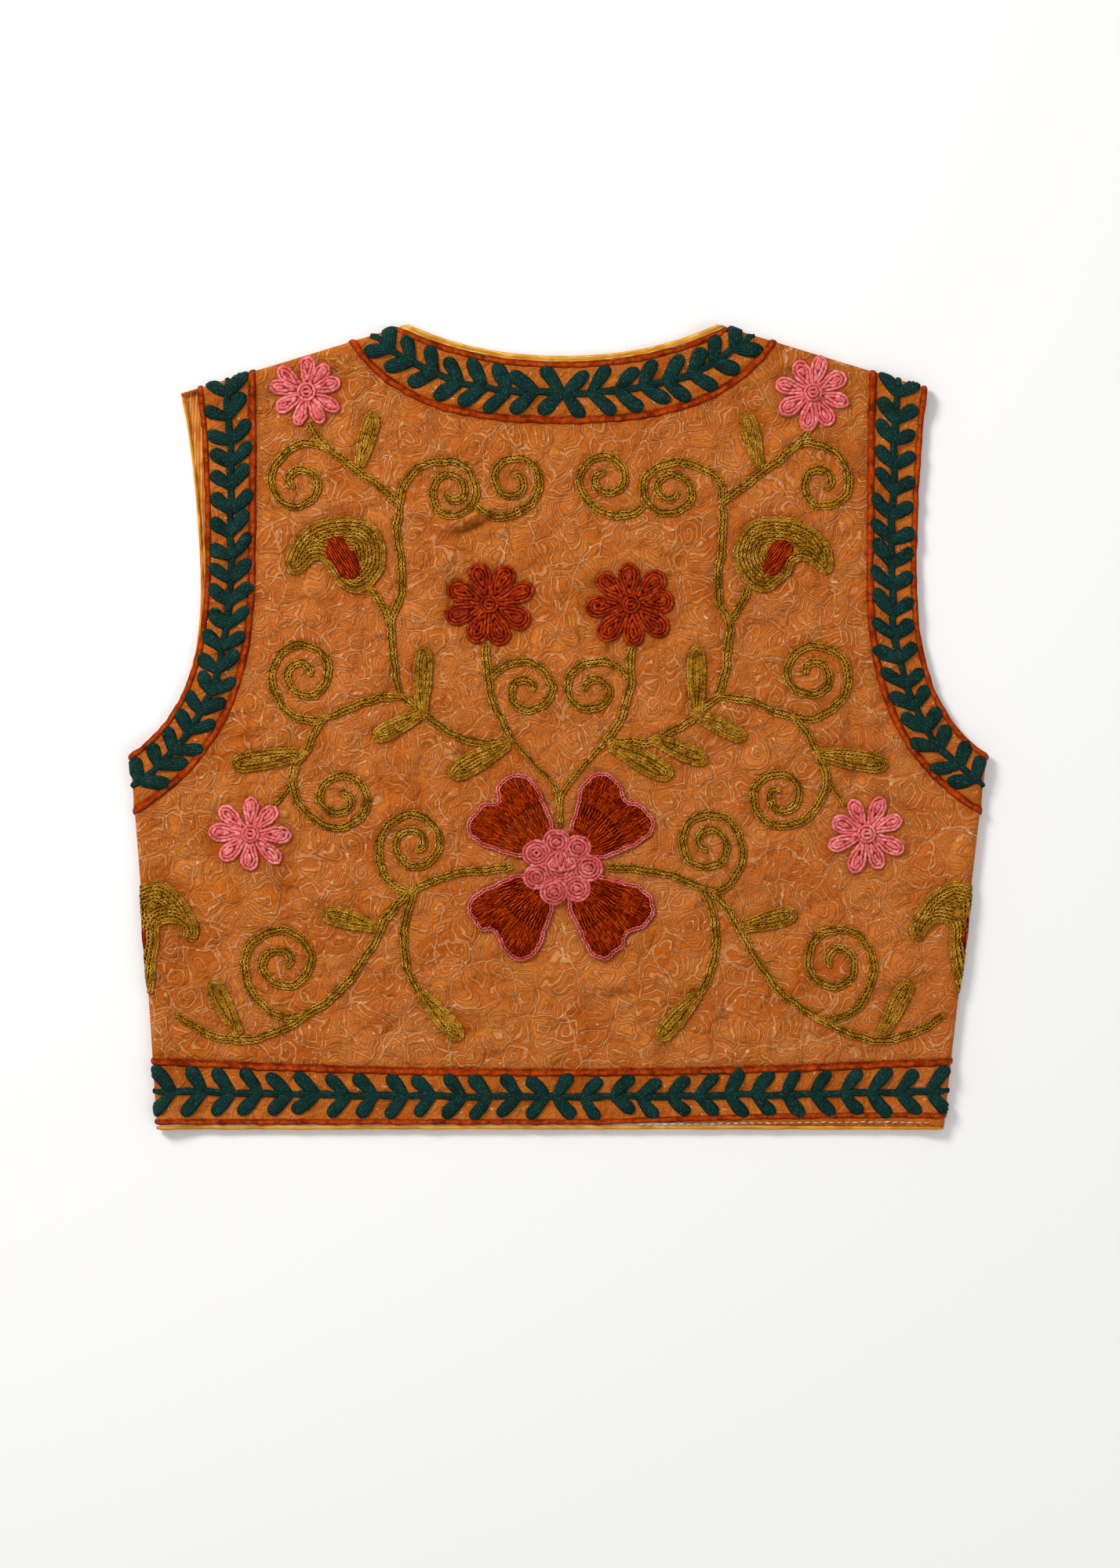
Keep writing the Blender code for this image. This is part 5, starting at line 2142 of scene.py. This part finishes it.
    @staticmethod
    def radiating(outline: Path, hub: Points, length: float, width: float) -> tuple[Points, Points]:
        """Stitches on rings about a hub, each heading outwards.

        Args:
            outline: the outline that the rings reach across.
            hub: their centre.
            length: a stitch's length.
            width: a stitch's width.

        Returns:
            The places of the stitches and their directions.
        """
        gap = outline.points - hub
        radii = np.arange(np.hypot(*gap.T).min() * 0.6, np.hypot(*gap.T).max(), length * 0.72)
        points, headings = [], []
        finest = 2 * math.pi / round(2 * math.pi * radii[-1] / (width * 1.08))
        for k, radius in enumerate(radii):
            step = finest * 2 ** max(round(math.log2(width / (radius * finest))), 0)
            angles = np.arange(0, 2 * math.pi, step) + 0.012 * (k % 2)
            out = np.column_stack([np.cos(angles), np.sin(angles)])
            points.append(hub + out * radius)
            headings.append(out)
        return np.vstack(points), np.vstack(headings)

    def bed(
        self, name: str, outlines: Sequence[Path], height: float, material: bpy.types.Material, slot: Slot
    ) -> None:
        """Low padded beds under the stitches, one to an outline.

        Args:
            name: the piece's name.
            outlines: the outlines.
            height: how high the beds stand.
            material: their material; a shade material makes them painted shade between the stitches.
            slot: not used.
        """
        builder = bmesh.new()
        for outline in outlines:
            outline = anticlockwise(outline)
            count = max(int(outline.length / (2.2 * MM)), 16)
            shares = np.arange(count) / count
            loops = []
            for inset, level in ((0.15 * MM, -0.4 * MM), (0.35 * MM, 0.5 * height), (1.0 * MM, height)):
                points = outline.beside(shares, inset)
                ring = bmesh.ops.create_circle(builder, cap_ends=False, radius=1.0, segments=count)["verts"]
                loops.append([e for e in {e for v in ring for e in v.link_edges}])
                for vertex in ring:
                    turn = math.atan2(vertex.co.y, vertex.co.x) / (2 * math.pi)
                    vertex.co = (*points[round(turn * count) % count], level)
            for one, other in zip(loops, loops[1:]):
                bmesh.ops.bridge_loops(builder, edges=[*one, *other])
            bmesh.ops.triangle_fill(builder, edges=loops[-1], use_beauty=True)
        for _ in range(3):
            wide = [e for e in builder.edges if e.calc_length() > 5 * MM]
            bmesh.ops.subdivide_edges(builder, edges=wide, cuts=1)
            bmesh.ops.triangulate(builder, faces=builder.faces[:])
        raw = coordinates(builder)
        places = self.tailor.lie.on_back(raw[:, :2], raw[:, 2])
        bmesh.ops.recalc_face_normals(builder, faces=builder.faces[:])
        for vertex, place in zip(builder.verts, places):
            vertex.co = place
        mesh = mesh_of(name, builder, {"tint": np.full(len(places), 0.3)})
        add_piece(name, mesh, (material,))

    def flowers(self) -> None:
        """The rust flowers and the four pink ones."""
        rust = self.fine.work("rust_flowers", self.fine.chain, self.palette.brick, Slot.RED, 101)
        pink = self.fine.work("pink_flowers", self.fine.chain, self.palette.pink, Slot.PINK, 111)
        flowers = [
            (rust, Flower((-38.6, 69), 25.0, 8, 13.4, 20, 1), 0.9),
            (rust, Flower((40.6, 69), 25.0, 8, 13.4, 5, 2), 0.9),
            (pink, Flower((-141, 188), 21.0, 9, 9.2, 12, 3), 0.8),
            (pink, Flower((142.5, 187.5), 21.0, 8, 10.4, 30, 4), 0.8),
            (pink, Flower((-172.4, -59.6), 22.5, 8, 10.8, 0, 5), 0.8),
            (pink, Flower((172.6, -59.6), 22.5, 8, 10.8, 22, 6), 0.8),
        ]
        petals: dict[str, list[Path]] = {"rust": [], "pink": []}
        for work, flower, crown in flowers:
            for outline in flower.outlines():
                self.fine.fill(work, outline, crown * MM)
                petals["rust" if work is rust else "pink"].append(outline)
            for ring, lift in ((4.6, 1.1), (2.8, 1.5), (1.0, 1.2)):
                work.row(flower.middle(ring), self.fine.link, self.fine.row_width, lift=lift * MM)
        rust.build()
        pink.build()
        self.bed("rust_flower_beds", petals["rust"], 0.3 * MM, self.palette.rust[1], Slot.RED)
        self.bed("pink_flower_beds", petals["pink"], 0.3 * MM, self.palette.pink[1], Slot.PINK)

    def big_flower(self, centre: tuple[float, float] = (1.5, -78.0)) -> None:
        """The four-petalled flower at the centre back.

        Args:
            centre: its centre in millimetres.
        """
        hub = np.array(centre) * MM
        petals = []
        for k in range(4):
            angle = math.pi / 4 + k * math.pi / 2
            turn = np.array([[math.cos(angle), -math.sin(angle)], [math.sin(angle), math.cos(angle)]])
            rng = np.random.default_rng(120 + k)
            knots = np.array(PETAL, float) + rng.normal(0, 0.5, (len(PETAL), 2))
            petals.append(Path.through((turn @ (knots * MM).T).T + hub, closed=True))
        self.bed("petal_padding", petals, 0.55 * MM, self.palette.wine[1], Slot.RED)
        fill = self.hand.work("petal_filling", self.hand.short, self.palette.wine, Slot.RED, 131)
        rim = self.hand.work("petal_outlines", self.hand.chain, self.palette.pink, Slot.PINK, 141)
        for petal in petals:
            self.short_fill(fill, petal, hub, 0.5 * MM)
            edge = anticlockwise(petal)
            shares = np.linspace(0.03, 0.97, 140)
            waver = 0.28 * MM * np.sin(shares * 61) + 0.3 * MM * np.sin(shares * 97 + 2)
            line = edge.at(shares) + (edge.beside(shares, 1.0) - edge.at(shares)) * waver[:, None]
            rim.row(Path(line), self.hand.link, 2.1 * MM, 1.25 * MM, lift=0.35 * MM)
            middle = petal.points.mean(0)
            for share in (1.0, 0.65, 0.3):
                self.hand.note(Path(middle + (petal.points - middle) * share))
        fill.build()
        rim.build()
        self.cluster(hub)

    def cluster(self, hub: Points) -> None:
        """The cluster of pink lobes at the big flower's middle.

        Args:
            hub: its centre.
        """
        work = self.fine.work("pink_cluster", self.fine.chain, self.palette.rose, Slot.PINK, 151)
        lobes = 7
        for k in range(lobes):
            angle = math.radians(100) + 2 * math.pi * k / lobes
            rng = np.random.default_rng(160 + k)
            place = hub + np.array([math.cos(angle), math.sin(angle)]) * (14.6 + rng.normal(0, 0.5)) * MM
            radius = 7.7 + rng.uniform(-0.4, 0.6)
            loop = circle(16) * [1.05, 1.0] * radius * MM
            lift = 0.6 * MM + 0.25 * MM * (k % 2)
            self.fine.mound(work, Path.through(place + loop, closed=True), lift, 0.12)
        self.fine.mound(work, Path.through(hub + circle(20) * 9.5 * MM, closed=True), 1.0 * MM, 0.0)
        for heading, reach in ((140, 10.0), (94, 12.5), (46, 10.5)):
            angle = math.radians(heading)
            foot = hub + np.array([0.5, -3.0]) * MM
            petal = club(foot, unit(math.cos(angle), math.sin(angle)), reach * MM, MM, FAN_PETAL)
            self.fine.mound(work, petal, 1.9 * MM, 0.12)
        work.build()
        disc = Path.through(hub + circle(24) * 15.5 * MM, closed=True)
        self.bed("cluster_padding", [disc], 0.7 * MM, self.palette.rose[1], Slot.PINK)

    def build(self) -> None:
        """Works the whole design."""
        for side in Side:
            self.vines(side)
            self.paisleys(side)
        self.flowers()
        self.big_flower()


@dataclass
class LeafBands:
    """Teal leaves in pairs on a stem, along the neck, the armholes and the hem."""

    tailor: Tailor
    stem_width: float = 4.0 * MM
    leaf_height: float = 1.9 * MM
    seed: int = 200

    def leaf_form(self) -> bmesh.types.BMesh:
        """A ball with its poles on X, which each leaf is shaped from."""
        builder = bmesh.new()
        turn = Matrix.Rotation(math.pi / 2, 4, "Y")
        bmesh.ops.create_uvsphere(builder, u_segments=12, v_segments=12, radius=1.0, matrix=turn)
        return builder

    def shape(self, ball: Points, length: float, width: float, bow: float) -> tuple[Points, Points]:
        """Shapes a ball into a padded leaf.

        Args:
            ball: the ball's points.
            length: the leaf's length.
            width: its width.
            bow: how far its middle bows to one side.

        Returns:
            Places in the leaf's own plane, and heights above the cloth.
        """
        run = np.clip((ball[:, 0] + 1) / 2, 0, 1)
        ring = np.sqrt(np.maximum(1 - ball[:, 0] ** 2, 1e-9))
        waist = 0.70
        swell = 0.58 + 0.42 * np.sin(np.clip(run / waist, 0, 1) * math.pi / 2)
        tip = np.sqrt(np.clip(1 - ((run - waist) / (1 - waist)) ** 2, 0, 1))
        profile = np.where(run < waist, swell * np.minimum(np.sqrt(run / 0.05 + 1e-9), 1), tip)
        x = run * length
        uneven = 1 + 0.045 * np.sin(run * 7.0 + bow * 9000) + 0.02 * np.sin(run * 13.0 + bow * 5000)
        y = ball[:, 1] / ring * profile * uneven * width / 2 + bow * np.sin(run * math.pi)
        z = np.sign(ball[:, 2]) * np.abs(ball[:, 2] / ring) ** 0.6
        height = np.where(z > 0, z * self.leaf_height * (0.35 + 0.65 * profile), z * 0.4 * MM)
        pole = np.abs(ball[:, 0]) > 0.9999
        height[pole] = 0.2 * MM
        y[pole] = 0.0
        return np.column_stack([x, y]), height

    def grow(
        self,
        name: str,
        path: Path,
        joints: Points,
        leaves: Sequence[tuple[float, float, float]],
        gain: float = 0.0,
    ) -> None:
        """Grows leaves from a stem's joints.

        Args:
            name: the piece's name.
            path: the stem's line, in place.
            joints: the joints' shares of its length. Below nothing, the leaf heads backwards.
            leaves: each leaf of a pair: its turn from the stem in degrees, its length and its width.
            gain: how much longer the leaves are at the stem's ends, as a share.
        """
        rng = np.random.default_rng(self.seed)
        self.seed += 1
        template = self.leaf_form()
        ball = coordinates(template)
        faces = [tuple(v.index for v in f.verts) for f in template.faces]
        template.free()
        flat, lifts, lays, tints = [], [], [], []
        for joint in joints:
            share = abs(joint)
            foot = path.at(np.array([share]))[0]
            ahead = path.tangents(np.array([share]))[0] * (1 if joint > 0 else -1)
            for turn, length, width in leaves:
                turn = turn if joint > 0 else -turn
                angle = math.radians(turn + rng.normal(0, 4.5))
                c, s = math.cos(angle), math.sin(angle)
                along = np.array([ahead[0] * c - ahead[1] * s, ahead[0] * s + ahead[1] * c])
                sideways = np.array([-along[1], along[0]])
                reach = length * MM * (1 + rng.uniform(-0.06, 0.06) + gain * (2 * share - 1) ** 2)
                bow = rng.uniform(-0.2, 0.7) * MM * math.copysign(1, turn)
                plane, height = self.shape(ball, reach, width * MM * (1 + rng.uniform(-0.08, 0.08)), bow)
                start = foot - along * 1.0 * MM
                flat.append(start + plane[:, :1] * along + plane[:, 1:] * sideways)
                lifts.append(height + rng.uniform(0, 0.25) * MM)
                lays.append(np.column_stack([plane, height]))
                tints.append(np.full(len(ball), rng.uniform(0, 1)))
        places = self.tailor.lie.on_back(np.vstack(flat), np.concatenate(lifts))
        mesh = bpy.data.meshes.new(name)
        count = len(ball)
        mesh.from_pydata(
            places.tolist(), [], [tuple(i + k * count for i in f) for k in range(len(flat)) for f in faces]
        )
        mark_points(mesh, {"lay": np.vstack(lays), "tint": np.concatenate(tints)})
        add_piece(name, mesh, (self.tailor.palette.teal,))

    def stem(self, name: str, path: Path) -> None:
        """The stem that a band's leaves grow from.

        Args:
            name: the piece's name.
            path: the stem's line, in place.
        """
        shares = np.linspace(0, 1, max(int(path.length / (2.6 * MM)), 8))
        half = self.stem_width / 2
        low, high = path.beside(shares, -half), path.beside(shares, half)
        finish = (self.tailor.palette.teal,)
        self.tailor.cord(
            name, low, high, 2.8 * MM, 1.4 * MM, finish, Slot.TEAL, wobble=0.16, sides=8, placed=True
        )
        self.tailor.worked.append(path.at(np.linspace(0, 1, int(path.length / (3 * MM)))))

    def wave(self, points: Points, size: float = 0.7 * MM) -> Path:
        """A line in place, with a slight hand-made waver.

        Args:
            points: places along the line.
            size: how far it wavers.

        Returns:
            The wavering line.
        """
        path = Path(points)
        shares = np.linspace(0, 1, 200)
        rng = np.random.default_rng(self.seed + 50)
        waver = sum(
            size * 0.5 * np.sin(shares * path.length / (length * MM) * 2 * math.pi + rng.uniform(0, 6.3))
            for length in (34.0, 61.0)
        )
        side = path.beside(shares, 1.0) - path.at(shares)
        return Path(path.at(shares) + side * waver[:, None])

    @staticmethod
    def outward_joints(length: float, spacing: float, rng_seed: int, spare: float) -> Points:
        """Joints in two halves, whose leaves head away from the centre.

        Args:
            length: the stem's length.
            spacing: the distance between joints.
            rng_seed: the seed of their unevenness.
            spare: how much of each end is left bare.

        Returns:
            Shares of the length, below nothing in the left half.
        """
        rng = np.random.default_rng(rng_seed)
        half = length / 2 - spare
        count = max(int(round(half / spacing)), 2)
        steps = (np.arange(count) + 0.12) * half / count + rng.uniform(-0.06, 0.06, count) * spacing
        right = 0.5 + np.maximum(steps, 0.5 * MM) / length
        left = -(0.5 - np.maximum(steps, 0.5 * MM) / length)
        return np.concatenate([right, left])

    def build(self) -> None:
        """Makes the four bands' stems and leaves."""
        t, cut = self.tailor, self.tailor.cut
        shares = np.linspace(0, 1, 200)
        neck = cut.neck_line(cut.neck_seam, shares, 0.0) * 0.49
        neck = neck + cut.neck_line(cut.neck_edge, shares, -6.0 * MM) * 0.51
        path = self.wave(cut.place(neck))
        self.stem("neck_stem", path)
        joints = self.outward_joints(path.length, 14.2 * MM, 3, 0.0)
        self.grow("neck_leaves", path, joints, ((47, 18.6, 8.3), (-47, 18.6, 8.3)), -0.16)
        hem = cut.hem_line(cut.hem_seam, shares, 0.0, cut.hem_seam_side_y) * 0.5
        hem = hem + cut.hem_line(cut.hem_edge, shares, 5.4 * MM, cut.hem_y) * 0.5
        path = self.wave(cut.place(hem), 0.5 * MM)
        self.stem("hem_stem", path)
        joints = self.outward_joints(path.length, 16.6 * MM, 4, -3 * MM)
        self.grow("hem_leaves", path, joints, ((48, 16.6, 7.8), (-48, 16.6, 7.8)), 0.12)
        for side, spacing in ((Side.LEFT, 13.0), (Side.RIGHT, 13.8)):
            seam = cut.arm_line(cut.armhole_seam, shares, 0.0, cut.armhole_seam_side_y, side)
            edge = cut.arm_line(cut.armhole_edge, shares, -2.8 * MM, cut.underarm_y, side)
            path = self.wave(cut.place(seam * 0.49 + edge * 0.51))
            self.stem(f"armhole_stem_{side.word}", path)
            count = int(round(path.length / (spacing * MM)))
            rng = np.random.default_rng(9 + side.value)
            steps = (np.arange(count) + 0.35 + rng.uniform(-0.07, 0.07, count)) / count
            outer = -side.value
            leaves = ((outer * 61, 14.8, 8.0), (-outer * 41, 17.4, 7.8))
            self.grow(f"armhole_leaves_{side.word}", path, np.maximum(steps, 0.02), leaves)


@dataclass
class RunningStitches:
    """White running stitches along the right of the hem, between its piping and its lining."""

    tailor: Tailor
    start_x: float = 0.050

    def build(self) -> None:
        """Works the stitches."""
        cut, palette = self.tailor.cut, self.tailor.palette
        shares = np.linspace(0.5 + self.start_x / (2 * cut.hem_half_width), 0.985, 120)
        line = cut.hem_line(cut.hem_edge, shares, 2.5 * MM, cut.hem_y)
        line = cut.place(BackCloth.hem_rise(line, 0.5))
        form = Embroiderer(self.tailor).short
        work = Needlework("hem_running_stitches", self.tailor, form, (palette.white,), Slot.LINING, 301)
        path = Path(line)
        count = int(path.length / (4.4 * MM))
        starts = np.arange(count) / count
        lifts = np.full(count, 0.35 * MM)
        work.add(path.at(starts), path.tangents(starts), 2.6 * MM, 0.95 * MM, 0.8 * MM, lifts)
        work.build()


# ---------------------------------------------------------------------------------------------
# The studio
# ---------------------------------------------------------------------------------------------


@dataclass
class Studio:
    """A pale floor, soft light and a camera straight above."""

    view_height: float = 0.880
    centre: tuple[float, float] = (0.0009, -0.0317)
    distance: float = 2.3

    def floor(self) -> None:
        """The floor, just under the waistcoat."""
        builder = bmesh.new()
        bmesh.ops.create_grid(builder, x_segments=8, y_segments=8, size=4.0)
        mesh = bpy.data.meshes.new("floor")
        builder.to_mesh(mesh)
        builder.free()
        mesh.transform(Matrix.Translation((0, 0, -0.02 * MM)))
        mesh.materials.append(StudioFloor().make())
        floor = bpy.data.objects.new("floor", mesh)
        bpy.context.scene.collection.objects.link(floor)

    def area(
        self, name: str, place: tuple[float, float, float], size: float, power: float, warm: float
    ) -> None:
        """A soft square light that looks at the waistcoat.

        Args:
            name: the light's name.
            place: where it stands.
            size: the length of its side.
            power: its power in watts.
            warm: how warm it is, from 0 for white.
        """
        light = bpy.data.lights.new(name, "AREA")
        light.size = size
        light.energy = power
        light.color = (1.0, 1.0 - 0.06 * warm, 1.0 - 0.14 * warm)
        lamp = bpy.data.objects.new(name, light)
        lamp.location = place
        lamp.rotation_euler = Vector(place).to_track_quat("Z", "Y").to_euler()
        bpy.context.scene.collection.objects.link(lamp)

    def build(self) -> None:
        """Sets up the floor, the lights and the camera."""
        scene = bpy.context.scene
        self.floor()
        self.area("key light", (-1.35, 1.3, 1.5), 0.7, 45.0, 0.3)
        self.area("fill light", (1.5, -0.9, 1.8), 1.6, 11.0, 0.0)
        world = bpy.data.worlds.new("studio")
        world.use_nodes = True
        background = world.node_tree.nodes["Background"]
        background.inputs["Color"].default_value = (1.0, 1.0, 1.0, 1.0)
        background.inputs["Strength"].default_value = 0.46
        scene.world = world
        scene.view_settings.view_transform = "Standard"
        camera = bpy.data.cameras.new("camera")
        camera.sensor_fit = "VERTICAL"
        camera.sensor_height = 24.0
        camera.lens = camera.sensor_height * self.distance / self.view_height
        camera.clip_start = 0.05
        holder = bpy.data.objects.new("camera", camera)
        holder.location = (*self.centre, self.distance)
        scene.collection.objects.link(holder)
        scene.camera = holder


def main() -> None:
    """Builds the waistcoat and its studio."""
    logging.basicConfig(level=logging.INFO, format="%(message)s")
    low, high = (Vector(corner) for corner in CAD_BOX)
    cut = Cut(hem_y=round(low.y, 4), neck_point_y=round(high.y, 4))
    tailor = Tailor(cut, Lie(cut), Palette())
    Studio().build()
    LeafBands(tailor).build()
    Garden(tailor).build()
    RunningStitches(tailor).build()
    for side in Side:
        FrontCloth(tailor, side).build()
    BackCloth(tailor).build()


if __name__ == "__main__":
    main()
